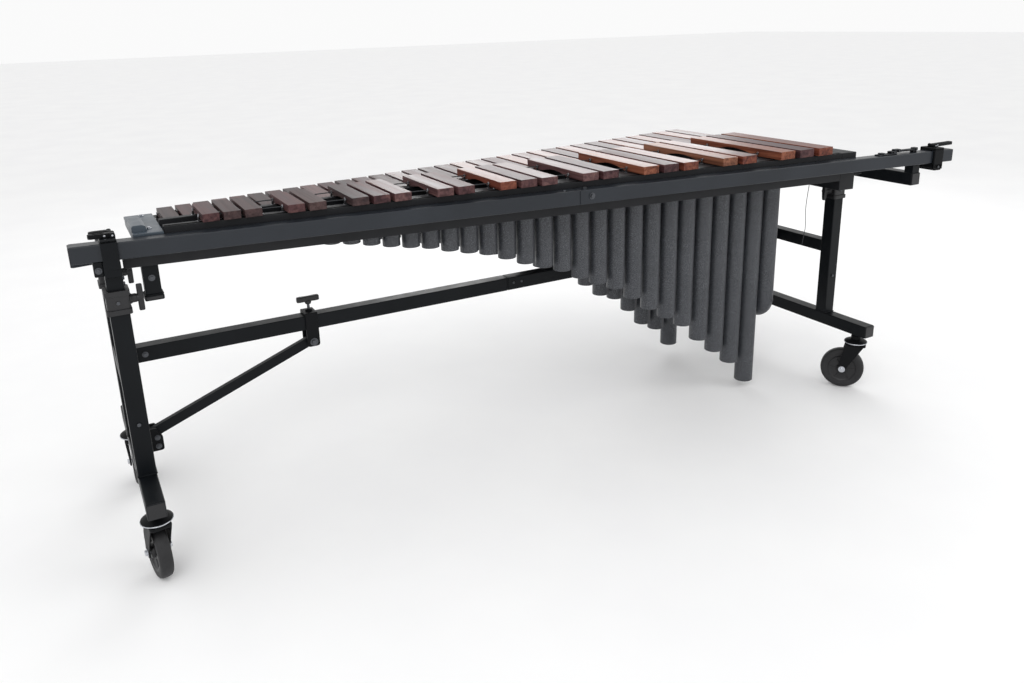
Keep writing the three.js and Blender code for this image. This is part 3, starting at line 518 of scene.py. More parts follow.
def rounded(outline, radius, steps=5):
    """The outline with its corners turned into arcs, of one radius or of one each."""
    points = []
    n = len(outline)
    for i in range(n):
        a, b, c = (Vector(outline[(i + d) % n]) for d in (-1, 0, 1))
        to_a, to_c = (a - b), (c - b)
        half = to_a.angle(to_c) / 2
        r = radius[i] if isinstance(radius, (list, tuple)) else radius
        reach = min(r / math.tan(half), to_a.length * 0.49, to_c.length * 0.49)
        if reach < 0.01:
            points.append((b.x, b.y))
            continue
        start = b + to_a.normalized() * reach
        end = b + to_c.normalized() * reach
        for k in range(steps + 1):
            t = k / steps
            p = start * (1 - t) ** 2 + b * (2 * t * (1 - t)) + end * t ** 2
            points.append((p.x, p.y))
    return points


def rectangle(a, b, radius, steps=5):
    """A rounded rectangle of half sides a and b."""
    return rounded([(-a, -b), (a, -b), (a, b), (-a, b)], radius, steps)


def stadium(a, b, radius, steps=8):
    """A slot outline from a to b along the first axis."""
    points = []
    for centre, start in ((b, -math.pi / 2), (a, math.pi / 2)):
        for k in range(steps + 1):
            angle = start + math.pi * k / steps
            points.append((centre + radius * math.cos(angle), radius * math.sin(angle)))
    return points


def piece(name, shape, body, materials, replaces_node=True):
    """Finishes a shape and says its body and the CAD node of its name."""
    bmesh.ops.scale(shape.bm, vec=(MM, MM, MM), verts=shape.bm.verts)
    mesh = bpy.data.meshes.new(name)
    shape.bm.to_mesh(mesh)
    shape.bm.free()
    mesh.shade_smooth()
    mesh.set_sharp_from_angle(angle=math.radians(38))
    for material in materials:
        mesh.materials.append(material)
    obj = bpy.data.objects.new(name, mesh)
    bpy.context.scene.collection.objects.link(obj)
    normals = obj.modifiers.new("normals", "WEIGHTED_NORMAL")
    normals.keep_sharp = True
    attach(obj, body)
    if replaces_node:
        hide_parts(name)


# ---- loose end of the bar cord ----
LOOSE_CORD = [
    (900, -331, 890.4), (899, -323, 891.6), (897, -317, 887), (896, -315, 862), (895, -314, 800),
    (894, -313, 759), (892, -312, 735), (888, -312, 678), (893, -312, 616), (890, -312, 596),
    (883, -312, 556),
]
LOOSE_RADIUS = 1.1
line = bpy.data.curves.new("loose_cord_end", "CURVE")
line.dimensions = "3D"
line.bevel_depth = LOOSE_RADIUS * MM
line.bevel_resolution = 3
line.resolution_u = 8
spline = line.splines.new("BEZIER")
spline.bezier_points.add(len(LOOSE_CORD) - 1)
for knot, place in zip(spline.bezier_points, LOOSE_CORD):
    knot.co = Vector(place) * MM
    knot.handle_left_type = "AUTO"
    knot.handle_right_type = "AUTO"
line.use_fill_caps = True
line.materials.append(STRING)
loose_cord = bpy.data.objects.new("loose_cord_end", line)
bpy.context.scene.collection.objects.link(loose_cord)
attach(loose_cord, "keyboard")
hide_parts("hanging_cord_end")


# ---- frame rails ----
def frame_rail(name, x0, x1, face, sign, capped, drop=0):
    """A box rail with rolled edges, a moulded cap in its outer end and screws at the join."""
    shape = Shape()
    bottom = RAIL_BOTTOM - drop
    top = RAIL_TOP - drop
    inner = shifted(face, sign * RAIL_BOX)
    low, high = (face, inner) if sign > 0 else (inner, face)
    a = x0 + (2.5 if capped == "low" else 0)
    b = x1 - (2.5 if capped == "high" else 0)
    shape.board(a, b, low, high, bottom, top, soft=3.2, segments=4)
    end = x0 if capped == "low" else x1 - CAP_THICK
    shape.board(
        end, end + CAP_THICK, shifted(low, CAP_INSET), shifted(high, -CAP_INSET),
        bottom + CAP_INSET, top - CAP_INSET, slot=1, soft=1.6,
    )
    if capped == "high":
        middle = (bottom + top) / 2
        x = RAIL_JOIN + 38
        shape.bolt((x, face(x) - sign * 0.1, middle + 2), -sign * Y, 11, slot=2)
        shape.bolt((x - 12, face(x) + sign * 21, top - 0.1), Z, 10, slot=2)
        screws = ((BASS_LEG_X - 26, 4.2), (BASS_LEG_X + 26, 4.2))
    else:
        screws = ((RAIL_JOIN - 38, 4.6),)
    for x, radius in screws:
        shape.screw((x, face(x) + sign * 21, top - 0.1), Z, radius, slot=2)
    if name == "near_rail_bass":
        toggle_latch(shape)
    materials = [RAIL_PAINT, PLASTIC, DARK_STEEL, PAINT_FLAT]
    piece(name, shape, "keyboard", materials)


def toggle_latch(shape):
    """A latch folded flat along the rail's top: a base, a slotted lever and four pins."""
    for x0, x1, inset, z0, z1 in (
        (1042, 1120, 10.5, RAIL_TOP - 0.5, 875.5), (1052, 1070, 14, 875, 880),
        (1096, 1119, 12, 875, 883), (1113, 1214, 14, 877.5, 884), (1113, 1138, 13.5, 877, 888),
        (1196, 1211, 14, RAIL_TOP - 0.5, 879), (1198, 1215, 13.5, 878, 887.5),
    ):
        shape.board(
            x0, x1, shifted(near_face, inset), shifted(near_face, RAIL_BOX - inset), z0, z1,
            slot=3, soft=1.4, segments=3,
        )
    for x, z in ((1061, 877.5), (1108, 879), (1128, 882.5), (1206, 882.5)):
        shape.rod((x, near_face(x) + RAIL_BOX / 2, z), Y, 2.3, -11.6, 11.6, 14, slot=2)


frame_rail("near_rail_treble", -HALF_LENGTH, RAIL_JOIN, near_face, 1, "low")
frame_rail("near_rail_bass", RAIL_JOIN + 0.6, RAIL_BASS_END, near_face, 1, "high")
frame_rail("far_rail_treble", -HALF_LENGTH, RAIL_JOIN, far_face, -1, "low", FAR_DROP)
frame_rail("far_rail_bass", RAIL_JOIN + 0.6, RAIL_BASS_END, far_face, -1, "high", FAR_DROP)


# ---- key rails, posts and cords ----
def post_places():
    """Where the posts stand along each row: one on each side of every bar."""
    accidental = []
    for k in range(SLOTS):
        if slot_has_bar(k):
            accidental.append(edge(k + 2) - slot_pitch(k) / 2)
            if k + 1 == SLOTS or not slot_has_bar(k + 1):
                accidental.append(edge(k + 2) + slot_pitch(k) / 2)
    return accidental, [edge(i) for i in range(NATURALS + 1)]


ACCIDENTAL_POSTS, NATURAL_POSTS = post_places()


def key_post(shape, x, y, base, cord_z):
    """A black sleeve on a bright shank, with a bright hook that cradles the cord."""
    foot = (x, y, base)
    tall = cord_z - base
    shape.lathe([(0, -0.2), (5.0, -0.2), (5.0, 0.8), (2.4, 1.0), (0, 1.0)], foot, Z, 16, slot=2)
    shape.lathe([
        (0, 0.5), (3.4, 0.5), (3.1, 1.6), (2.9, tall - 4.2), (2.1, tall - 3.4), (0, tall - 3.4),
    ], foot, Z, 14, slot=1)
    hook = []
    for k in range(9):
        angle = math.pi * (1.0 + k / 8)
        hook.append((x, y + 3.0 * math.cos(angle), cord_z + 3.0 * math.sin(angle)))
    hook = [(x, y - 3.0, cord_z + 5.2)] + hook + [(x, y + 3.0, cord_z + 4.0)]
    shape.pipe(hook, 1.15, 8, slot=2)


def key_rail(name, low, high, z0, z1, posts, line, under, skirts=()):
    """A board along one row of posts, with boards on edge hanging from it."""
    shape = Shape()
    shape.board(KEY_RAIL_START, KEY_RAIL_END, low, high, z0, z1, soft=1.6, segments=3)
    for start, skirt_low, skirt_high, bottom, top in skirts:
        shape.board(start, KEY_RAIL_END, skirt_low, skirt_high, bottom, top, soft=1.3)
    for x in posts:
        key_post(shape, x, line(x), z1, under + CORD_ABOVE_UNDERSIDE)
    for x in posts[2::6]:
        y = (low(x) + high(x)) / 2
        shape.screw((x + 9, y, z1 - 0.1), Z, 3.4, slot=2)
    piece(name, shape, "keyboard", [BOARD, PLASTIC, STEEL])


near_inner_face = shifted(near_face, RAIL_BOX)
skirt_outside = shifted(near_inner_face, GAP)
skirt_inside = shifted(near_inner_face, SKIRT_THICK)
key_rail(
    "accidental_rail_outer", shifted(near_inner_face, 1), shifted(accidental_near, 9),
    OUTER_TOP - 18, OUTER_TOP, ACCIDENTAL_POSTS, accidental_near, ACCIDENTAL_UNDER,
    [
        (SKIRT_START, skirt_outside, skirt_inside, SKIRT_BOTTOM, SKIRT_TOP),
        (KEY_RAIL_START, skirt_outside, skirt_inside, SKIRT_TOP - 2, OUTER_TOP),
    ],
)
key_rail(
    "accidental_rail_inner", shifted(accidental_far, -11), shifted(accidental_far, 10), 853,
    OUTER_TOP, ACCIDENTAL_POSTS, accidental_far, ACCIDENTAL_UNDER,
)
key_rail(
    "natural_rail_inner", shifted(natural_near, -11), shifted(natural_near, 11), 826, LOW_TOP,
    NATURAL_POSTS, natural_near, NATURAL_UNDER,
)
key_rail(
    "natural_rail_outer", shifted(natural_far, -9), shifted(far_face, -18), LOW_TOP - 18, LOW_TOP,
    NATURAL_POSTS, natural_far, NATURAL_UNDER,
    [(KEY_RAIL_START, shifted(far_face, -30), shifted(far_face, -17), FAR_TOP + GAP, LOW_TOP)],
)


def bar_cord(name, posts, line, under):
    """A braided cord strung through the bars, dipping a little at each post."""
    shape = Shape()
    z = under + CORD_ABOVE_UNDERSIDE
    points = []
    for a, b in zip(posts, posts[1:]):
        points.append((a, line(a), z - 0.6))
        points.append(((a + b) / 2, line((a + b) / 2), z))
    points.append((posts[-1], line(posts[-1]), z - 0.6))
    shape.pipe(points, CORD_RADIUS, 10)
    piece(name, shape, "keyboard", [STRING], replaces_node=False)


bar_cord("cord_accidental_near", ACCIDENTAL_POSTS, accidental_near, ACCIDENTAL_UNDER)
bar_cord("cord_accidental_far", ACCIDENTAL_POSTS, accidental_far, ACCIDENTAL_UNDER)
bar_cord("cord_natural_near", NATURAL_POSTS, natural_near, NATURAL_UNDER)
bar_cord("cord_natural_far", NATURAL_POSTS, natural_far, NATURAL_UNDER)

# Ends of the key bed
casting = Shape()
CASTING_START = -1247
casting.board(
    CASTING_START, KEY_RAIL_START - GAP, shifted(near_inner_face, 1), slanted(46, 0),
    SKIRT_TOP + GAP, SKIRT_TOP + 9, soft=2.0, segments=3,
)
casting.box(CASTING_START + 1, KEY_RAIL_START - 1, -158, 45, 852, SKIRT_TOP + 1, soft=1.5)
casting.plate(
    (CASTING_START, -113, 0), X, Z,
    rounded([(0, SKIRT_TOP + 8), (36, SKIRT_TOP + 8), (32, 890), (24, 893), (4, 893), (0, 889)], 3),
    102, soft=1.5,
)
for y in (-140, 25):
    casting.bolt((CASTING_START + 41, y, SKIRT_TOP + 9), Z, 8, slot=1)
piece("treble_end_casting", casting, "keyboard", [CASTING, STEEL])

end_board = Shape()
far_inner_face = shifted(far_face, -RAIL_BOX)
for low, high, z0, z1 in (
    (shifted(near_inner_face, 0.6), slanted(-18, 0), END_BOARD_BOTTOM, 889),
    (slanted(-19, 0), shifted(far_inner_face, -0.6), END_BOARD_BOTTOM, LOW_TOP),
    (shifted(far_inner_face, -2), shifted(far_face, -17), FAR_TOP + GAP, LOW_TOP),
):
    end_board.board(KEY_RAIL_END + GAP, BOARD_END, low, high, z0, z1, soft=2.2, segments=3)
for y in range(-360, 400, 120):
    for z in (LOW_TOP - 18, END_BOARD_BOTTOM + 14):
        end_board.screw((BOARD_END - 0.1, y, z), X, 4.0, slot=1)
piece("bass_end_board", end_board, "keyboard", [BOARD, DARK_STEEL])


# ---- bars ----
def bar(name, x, pitch, front, back, under, wood):
    """One tuned bar: crisp edges above, and an arch hollowed from its underside."""
    length = back - front
    t = thickness(x)
    hollow = t * (0.22 + 0.42 * share_of(x))
    outline = [(0, 0.6), (0, t), (length, t), (length, 0.6), (length - 0.6, 0)]
    steps = 14
    for k in range(steps + 1):
        along = 0.72 - 0.44 * k / steps
        rise = hollow * math.sin(math.pi * k / steps) ** 0.8 if 0 < k < steps else 0
        outline.append((along * length, rise))
    outline.append((0.6, 0))
    shape = Shape()
    shape.plate((x, front, under), Y, Z, outline, pitch * BAR_FILL, soft=1.1, segments=3, limit=0.9)
    piece(name, shape, "keyboard", [wood], replaces_node=False)


ACCIDENTAL_WOODS = {
    0: "plum", 1: "ash_brown", 2: "ash_brown", 4: "plum", 5: "ash_brown", 7: "ash_brown",
    8: "plum", 9: "mauve", 11: "mauve", 12: "plum", 14: "russet", 15: "plum", 16: "mauve",
    18: "mauve", 19: "plum", 21: "amber", 22: "plum", 23: "russet", 25: "tan", 26: "russet",
    28: "amber", 29: "plum", 30: "russet",
}
NATURAL_WOODS = ["ash_brown", "plum", "ash_brown", "mauve", "plum"]
LOW_WOODS = ["mauve", "russet", "plum", "russet", "mauve", "plum", "russet"]
for k, wood in ACCIDENTAL_WOODS.items():
    x = edge(k + 2)
    bar(f"accidental_bar_{k + 1:02d}", x, slot_pitch(k), accidental_front(x), accidental_back(x),
        ACCIDENTAL_UNDER, WOODS[wood])
for i in range(NATURALS):
    x = (edge(i) + edge(i + 1)) / 2
    wood = NATURAL_WOODS[i % 5] if i < 17 else LOW_WOODS[i % 7]
    bar(f"natural_bar_{i + 1:02d}", x, edge(i + 1) - edge(i), natural_front(x), natural_back(x),
        NATURAL_UNDER, WOODS[wood])
BAR_SETS = [
    "accidental_bars_treble", "accidental_bars_bass", "natural_bars_treble", "natural_bars_bass",
]
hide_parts(*BAR_SETS)


# ---- resonators ----
ACCIDENTAL_TUBE_TOP = 847
NATURAL_TUBE_TOP = 822
FOLD_LEVEL = 329
FOLD_RADIUS = 37
MIN_TUBE = 32
LOWEST_STRAIGHT = 25
SOUND_SPEED = 345000
END_CORRECTION = 12.3


def tube_length(midi):
    """A quarter of the note's wavelength, less the end correction."""
    return SOUND_SPEED / (4 * 440 * 2 ** ((midi - 69) / 12)) - END_CORRECTION


def slot_length(k):
    if slot_has_bar(k):
        return tube_length(midi_of_natural(k + 1) - 1)
    return (slot_length(k - 1) + slot_length(k + 1)) / 2


def straight_tube(shape, x, y, top, length, radius):
    """An open-topped tube with a plug set into its foot."""
    low = top - length
    shape.lathe([
        (0, low + 2.2), (radius - 2.6, low + 2.2), (radius - 1.8, low + 0.4), (radius - 0.8, low),
        (radius, low + 0.7), (radius, top - 0.5), (radius - 0.7, top), (radius - 1.6, top - 0.5),
        (radius - 1.6, low + 6), (0, low + 6),
    ], (x, y, 0), Z, 40)


def folded_tube(shape, x, y, top, length, radius, sign):
    """A tube that turns back up, with a collar at each end of the bend."""
    rise = length - (top - FOLD_LEVEL) - math.pi * FOLD_RADIUS
    far = y + sign * 2 * FOLD_RADIUS
    shape.lathe([
        (radius - 1.6, FOLD_LEVEL), (radius, FOLD_LEVEL), (radius, top - 0.5), (radius - 0.7, top),
        (radius - 1.6, top - 0.5), (radius - 1.6, FOLD_LEVEL),
    ], (x, y, 0), Z, 40)
    bend = []
    for k in range(25):
        angle = math.pi * k / 24
        bend.append((
            x, y + sign * FOLD_RADIUS * (1 - math.cos(angle)),
            FOLD_LEVEL - FOLD_RADIUS * math.sin(angle),
        ))
    shape.pipe(bend, radius, 40)
    cap = FOLD_LEVEL + rise
    shape.lathe([
        (0, FOLD_LEVEL), (radius, FOLD_LEVEL), (radius, cap - 2), (radius - 2, cap), (0, cap),
    ], (x, far, 0), Z, 40)
    for centre in (y, far):
        shape.ring((x, centre, FOLD_LEVEL), Z, radius - 1, radius + 0.9, -3, 3)


def resonator_bank(name, tubes, middle, top, sign):
    """Tubes of (x, pitch, length) between two rails that are screwed to every second one."""
    shape = Shape()
    for x, pitch, length in tubes:
        radius = pitch * TUBE_FILL / 2
        if top - length < LOWEST_STRAIGHT:
            folded_tube(shape, x, middle(x), top, length, radius, sign)
        else:
            straight_tube(shape, x, middle(x), top, length, radius)
    first, last = tubes[0], tubes[-1]
    x0 = first[0] - first[1] * 0.42
    x1 = last[0] + last[1] * 0.42
    reach = lambda x: TUBE_FILL / 2 * (first[1] + (last[1] - first[1]) * (x - x0) / (x1 - x0))
    for side in (-1, 1):
        inner = lambda x: middle(x) + side * (reach(x) - 0.6)
        outer = lambda x: middle(x) + side * (reach(x) + 2.3)
        low, high = (inner, outer) if side > 0 else (outer, inner)
        shape.board(x0, x1, low, high, top - 27, top - 3, soft=0.9)
        for x, pitch, length in tubes[::2]:
            shape.screw((x, outer(x), top - 15), side * Y, 3.0, slot=1)
    piece(name, shape, "keyboard", [COAT, DARK_STEEL])


ACCIDENTAL_TUBES = [
    (edge(k + 2), slot_pitch(k), max(MIN_TUBE, slot_length(k))) for k in range(SLOTS)
]
NATURAL_TUBES = [
    ((edge(i) + edge(i + 1)) / 2, edge(i + 1) - edge(i),
     max(MIN_TUBE, tube_length(midi_of_natural(i)))) for i in range(NATURALS)
]
for row, tubes, split, middle, top, sign in (
    ("accidental", ACCIDENTAL_TUBES, BAR_SPLIT_SLOT, accidental_middle, ACCIDENTAL_TUBE_TOP, 1),
    ("natural", NATURAL_TUBES, BAR_SPLIT_NATURAL, natural_middle, NATURAL_TUBE_TOP, -1),
):
    resonator_bank(f"{row}_resonators_treble", tubes[:split], middle, top, sign)
    resonator_bank(f"{row}_resonators_bass", tubes[split:], middle, top, sign)


# ---- masts and clamps ----
TREBLE_LEGS = (-187, 72)
BASS_LEGS = (-266, 270)
CHEEK = 9
LEVER_THICK = 10.7
LUG_SPREAD = 11.3
TREBLE_PIVOT_X = -1292
MAST_HALF = MAST_BOX / 2
MAST_BOTTOM = 470
MAST_BEAM_BOTTOM = 790
MAST_BEAM_TOP = RAIL_BOTTOM - GAP
MAST_BOLTS = (776, 762)
SADDLE_BOTTOM = 808


def saddle(shape, x, face, sign, half, bottom, top=CLAMP_TOP, rail_top=RAIL_TOP):
    """A cast arch over the rail, its two cheeks softly rounded."""
    for a, b, z0, z1 in (
        (-CHEEK, -GAP, bottom, top - 1),
        (RAIL_BOX + GAP, RAIL_BOX + CHEEK, bottom, top - 1),
        (-CHEEK, RAIL_BOX + CHEEK, rail_top + GAP, top),
    ):
        low, high = sorted((sign * a, sign * b))
        shape.board(
            x - half, x + half, shifted(face, low), shifted(face, high), z0, z1, soft=2.4,
            segments=3,
        )


def lever_lugs(shape, x, y, top=CLAMP_TOP):
    """Two rounded lugs and the pin between them."""
    axle = top + GAP + LEVER_THICK / 2
    outline = rounded(
        [(-6, top - 1), (6, top - 1), (6, axle + 6), (-6, axle + 6)], [0.5, 0.5, 5, 5],
    )
    for side in (-1, 1):
        shape.plate((x, y + side * LUG_SPREAD, 0), X, Z, outline, 4, soft=0.6)
    shape.lathe([
        (0, -15.3), (2.1, -15.3), (2.5, -14.6), (2.5, 14.6), (2.1, 15.3), (0, 15.3),
    ], (x, y, axle), Y, 16, slot=1)


def cam_lever(name, pivot, tip, y, body, top=CLAMP_TOP):
    """A flat lever with round ends, an eye at its pivot and a slot through its blade."""
    shape = Shape()
    way = 1 if tip > pivot else -1
    reach = abs(tip - pivot)
    z = top + GAP + LEVER_THICK / 2
    shape.frame_plate(
        (pivot, y, z), X * way, Y, stadium(9.2, reach - 9, 9), stadium(21, reach - 14, 3.6),
        LEVER_THICK,
    )
    shape.lathe([
        (2.8, -9), (5.2, -9), (5.35, -8), (5.35, 8), (5.2, 9), (2.8, 9), (2.8, -9),
    ], (pivot, y, z), Y, 24)
    x0, x1 = sorted((pivot + way * 4, pivot + way * 9))
    shape.box(x0, x1, y - 9, y + 9, z - 5.2, z + 5.2, soft=0.8)
    shape.rod((pivot + way * 17, y, z), Y, 2.4, -9.6, 9.6, 14, slot=1)
    piece(name, shape, body, [PAINT_FLAT, STEEL])


def lever_y(face, sign, x):
    return face(x) + sign * RAIL_BOX / 2


def mast(shape, x, y, top):
    shape.column(x, y, MAST_HALF, MAST_BOTTOM, top, soft=2.6, segments=3)


treble_mast = Shape()
low_x, high_x = TREBLE_LEG_X - MAST_HALF, TREBLE_LEG_X + MAST_HALF
mast(treble_mast, TREBLE_LEG_X, TREBLE_LEGS[0], 800)
mast(treble_mast, TREBLE_LEG_X, TREBLE_LEGS[1], FAR_BOTTOM - GAP)
beam_near = near_face(TREBLE_LEG_X) - CHEEK
beam_far = far_face(high_x) - RAIL_BOX - CHEEK
treble_mast.box(
    low_x, high_x, beam_near + 2, beam_far + 1, MAST_BEAM_BOTTOM, MAST_BEAM_TOP, soft=2.6,
    segments=3,
)
treble_mast.box(low_x, high_x, 40, 58, COLLAR_TOP + 0.5, FAR_BOTTOM - GAP, soft=1)
saddle(treble_mast, TREBLE_LEG_X, near_face, 1, 18, SADDLE_BOTTOM)
saddle(treble_mast, TREBLE_LEG_X, far_face, -1, 18, COLLAR_TOP + 1, FAR_CLAMP_TOP, FAR_TOP)
near_lever_y = lever_y(near_face, 1, TREBLE_LEG_X)
far_lever_y = lever_y(far_face, -1, TREBLE_LEG_X)
lever_lugs(treble_mast, TREBLE_PIVOT_X, near_lever_y)
lever_lugs(treble_mast, FAR_PIVOT_X, far_lever_y, FAR_CLAMP_TOP)
treble_mast.box(
    -1344, TREBLE_LEG_X - 18, beam_near + 14, beam_near + 46, 792, MAST_BEAM_TOP, soft=3,
    segments=3,
)
treble_mast.bolt((-1334, beam_near + 14, 808), -Y, 9, slot=2)
for z in MAST_BOLTS:
    treble_mast.bolt((high_x, TREBLE_LEGS[0], z), X, 8, slot=2)
piece("treble_mast_frame", treble_mast, "keyboard", [PAINT, STEEL, DARK_STEEL])
cam_lever("treble_lever_near", TREBLE_PIVOT_X, -1345, near_lever_y, "treble_cam_near")
cam_lever("treble_lever_far", FAR_PIVOT_X, -1336, far_lever_y, "treble_cam_far", FAR_CLAMP_TOP)

bass_mast = Shape()
low_x, high_x = BASS_LEG_X - MAST_HALF, BASS_LEG_X + MAST_HALF
for y in BASS_LEGS:
    mast(bass_mast, BASS_LEG_X, y, 812)
for y0, y1 in ((-300, -262), (251, 289)):
    bass_mast.box(
        BOARD_END + GAP, BASS_LEG_X - 18, y0, y1, MAST_BEAM_BOTTOM, MAST_BEAM_TOP, soft=2.4,
        segments=3,
    )
far_end = far_face(low_x) - RAIL_BOX - GAP
bass_mast.box(
    low_x, high_x, -360, far_end, MAST_BEAM_BOTTOM, MAST_BEAM_TOP, soft=2.6, segments=3,
)
bass_mast.box(low_x, high_x, far_end - 12, far_end, 746, MAST_BEAM_BOTTOM + 1, soft=2)
bass_mast.box(low_x, high_x, far_end - 12, far_end + 40, 746, FAR_BOTTOM - GAP, soft=2)
for z in MAST_BOLTS:
    bass_mast.bolt((low_x, BASS_LEGS[0], z), -X, 8, slot=1)
piece("bass_mast_frame", bass_mast, "keyboard", [PAINT, DARK_STEEL])

CLAMP_HALF = 20
CLAMP_PIVOT = 2
for name, face, sign, x, drop, tip in (
    ("near", near_face, 1, 1290, 0, HALF_LENGTH),
    ("far", far_face, -1, 1255, FAR_DROP, 1345),
):
    clamp = Shape()
    top = CLAMP_TOP - drop
    saddle(clamp, x, face, sign, CLAMP_HALF, SADDLE_BOTTOM - drop, top, RAIL_TOP - drop)
    low, high = sorted((-sign * CHEEK, sign * (RAIL_BOX + CHEEK)))
    for inset, z0, z1, soft, segments in (
        (5, 804, RAIL_BOTTOM - 4, 3.5, 4), (0, 811, RAIL_BOTTOM - GAP, 3, 3),
    ):
        clamp.board(
            x - CLAMP_HALF + inset, x + CLAMP_HALF - inset, shifted(face, low),
            shifted(face, high), z0 - drop, z1 - drop, soft=soft, segments=segments,
        )
    lever_lugs(clamp, x - CLAMP_PIVOT, lever_y(face, sign, x), top)
    clamp.bolt((x, face(x) - sign * (CHEEK - 1), 816 - drop), -sign * Y, 8, slot=2, washer=False)
    materials = [PAINT_FLAT, STEEL, DARK_STEEL]
    piece(f"bass_clamp_{name}", clamp, "keyboard", materials)
    cam_lever(f"bass_lever_{name}", x - CLAMP_PIVOT, tip, lever_y(face, sign, x),
              f"bass_cam_{name}", top)

overhang = Shape()
near_end = near_face(1230) + 6
overhang.board(
    1188, 1230, slanted(near_end + 3, 0), shifted(far_inner_face, -0.6), 758, 801, soft=2.8,
    segments=3,
)
overhang.box(1189, 1229, near_end, near_end + 4, 759, 800, slot=1, soft=1.4)
overhang.box(1191, 1227, near_end + 3, near_end + 36, 799, RAIL_BOTTOM - GAP, soft=2)
piece("bass_overhang_beam", overhang, "keyboard", [PAINT, PLASTIC])

rest = Shape()
rest.box(-1238, -1200, -169, -132, 716, 851.7, soft=2.6, segments=3)
rest.plate((-1219, -150.5, 717), X, Y, rectangle(23, 22.5, 6), 2, soft=0.5)
rest.box(-1242, -1196, -173, -128, 702, 716, slot=1, soft=3.5, segments=3)
rest.bolt((-1219, -169, 760), -Y, 9, slot=2)
piece("treble_rest_foot", rest, "keyboard", [PAINT, PLASTIC, DARK_STEEL])


# ---- rolling base ----
LEGS = {
    "treble_near": (TREBLE_LEG_X, TREBLE_LEGS[0], 1),
    "treble_far": (TREBLE_LEG_X, TREBLE_LEGS[1], 1),
    "bass_near": (BASS_LEG_X, BASS_LEGS[0], -1),
    "bass_far": (BASS_LEG_X, BASS_LEGS[1], -1),
}
CASTERS = {
    "treble_near": (TREBLE_LEG_X, -300, 99),
    "treble_far": (TREBLE_LEG_X, 225, 84),
    "bass_near": (BASS_LEG_X, -418, 128),
    "bass_far": (BASS_LEG_X, 420, 36),
}
BASE = "rolling_base"


def foot_beam(name, x, y0, y1):
    """A box beam with moulded caps."""
    shape = Shape()
    half = LEG_BOX / 2
    shape.box(x - half, x + half, y0 + 3, y1 - 3, BEAM_BOTTOM, BEAM_TOP, soft=3, segments=4)
    for y in (y0, y1 - CAP_THICK):
        shape.box(
            x - half + CAP_INSET, x + half - CAP_INSET, y, y + CAP_THICK, BEAM_BOTTOM + CAP_INSET,
            BEAM_TOP - CAP_INSET, slot=1, soft=1.4,
        )
    piece(name, shape, BASE, [PAINT, PLASTIC])


foot_beam("foot_beam_treble", TREBLE_LEG_X, -360, 285)
foot_beam("foot_beam_bass", BASS_LEG_X, -473, 475)


def waisted_oval(half_width, half_length, steps=28):
    """A long oval that draws in a little towards its middle."""
    angles = [2 * math.pi * k / steps for k in range(steps)]
    points = [
        (half_width * math.cos(a), math.sin(a) / (1 + 0.16 * math.cos(2 * a) ** 2)) for a in angles
    ]
    tall = max(b for a, b in points)
    return [(a, b * half_length / tall) for a, b in points]


GRIP_OUTLINE = waisted_oval(8, 34)
SCREW_LEVEL = 722
half = LEG_BOX / 2
for name, (x, y, inward) in LEGS.items():
    leg = Shape()
    leg.column(x, y, half, BEAM_TOP + GAP, COLLAR_BOTTOM - GAP, soft=3, segments=4)
    weld = []
    reach = half + 0.2
    for a, b in ((-1, -1), (1, -1), (1, 1), (-1, 1), (-1, -1)):
        weld.append((x + a * reach, y + b * reach, BEAM_TOP + 1.6))
    for p, q in zip(weld, weld[1:]):
        leg.pipe([p, q], 1.8, 8)
    leg.bolt((x, y - half, 400), -Y, 9, slot=1, washer=False)
    piece(f"upright_{name}", leg, BASE, [PAINT, DARK_STEEL])

    collar = Shape()
    for z0, z1, waist in (
        (COLLAR_BOTTOM, COLLAR_BOTTOM + 13, 1), (COLLAR_BOTTOM + 12.5, COLLAR_TOP - 12.5, 26 / 29),
        (COLLAR_TOP - 13, COLLAR_TOP, 1),
    ):
        outside = [(a * waist, b * waist) for a, b in rectangle(29, 29, 8, 6)]
        collar.frame_plate(
            (x, y, (z0 + z1) / 2), X, Y, outside, rectangle(19.4, 19.4, 2, 6), z1 - z0,
        )
    collar.lathe([
        (5.6, 0), (13, 0), (13, 6), (11, 8), (11, 17), (9.5, 18.5), (5.6, 18.5), (5.6, 0),
    ], (x + inward * 25, y, SCREW_LEVEL), X * inward, 28)
    collar.bolt((x, y - 26, SCREW_LEVEL), -Y, 8, slot=1, washer=False)
    piece(f"collar_{name}", collar, BASE, [PLASTIC, DARK_STEEL])

    grip = Shape()
    start = (x + inward * 19.6, y, SCREW_LEVEL)
    grip.lathe([(0, 0), (4, 0), (5, 1.2), (5, 27), (0, 27)], start, X * inward, 20, slot=1)
    grip.lathe([
        (0, 21.5), (8.5, 21.5), (10, 24), (10, 33), (8, 39), (3, 39.4), (0, 39.4),
    ], start, X * inward, 28)
    grip.plate(
        (x + inward * 52, y, SCREW_LEVEL), Y, Z, GRIP_OUTLINE, 13.6, soft=3.2, segments=3,
        limit=0.9,
    )
    piece(f"collar_screw_{name}", grip, f"screw_{name}", [PLASTIC, STEEL])

for name, x, (y0, y1) in (("treble", TREBLE_LEG_X, TREBLE_LEGS), ("bass", BASS_LEG_X, BASS_LEGS)):
    cross = Shape()
    cross.box(
        x - 21.5, x + 21.5, y0 + half + GAP, y1 - half - GAP, CROSSBAR_BOTTOM, CROSSBAR_TOP,
        soft=3, segments=4,
    )
    piece(f"crossbar_{name}", cross, BASE, [PAINT])

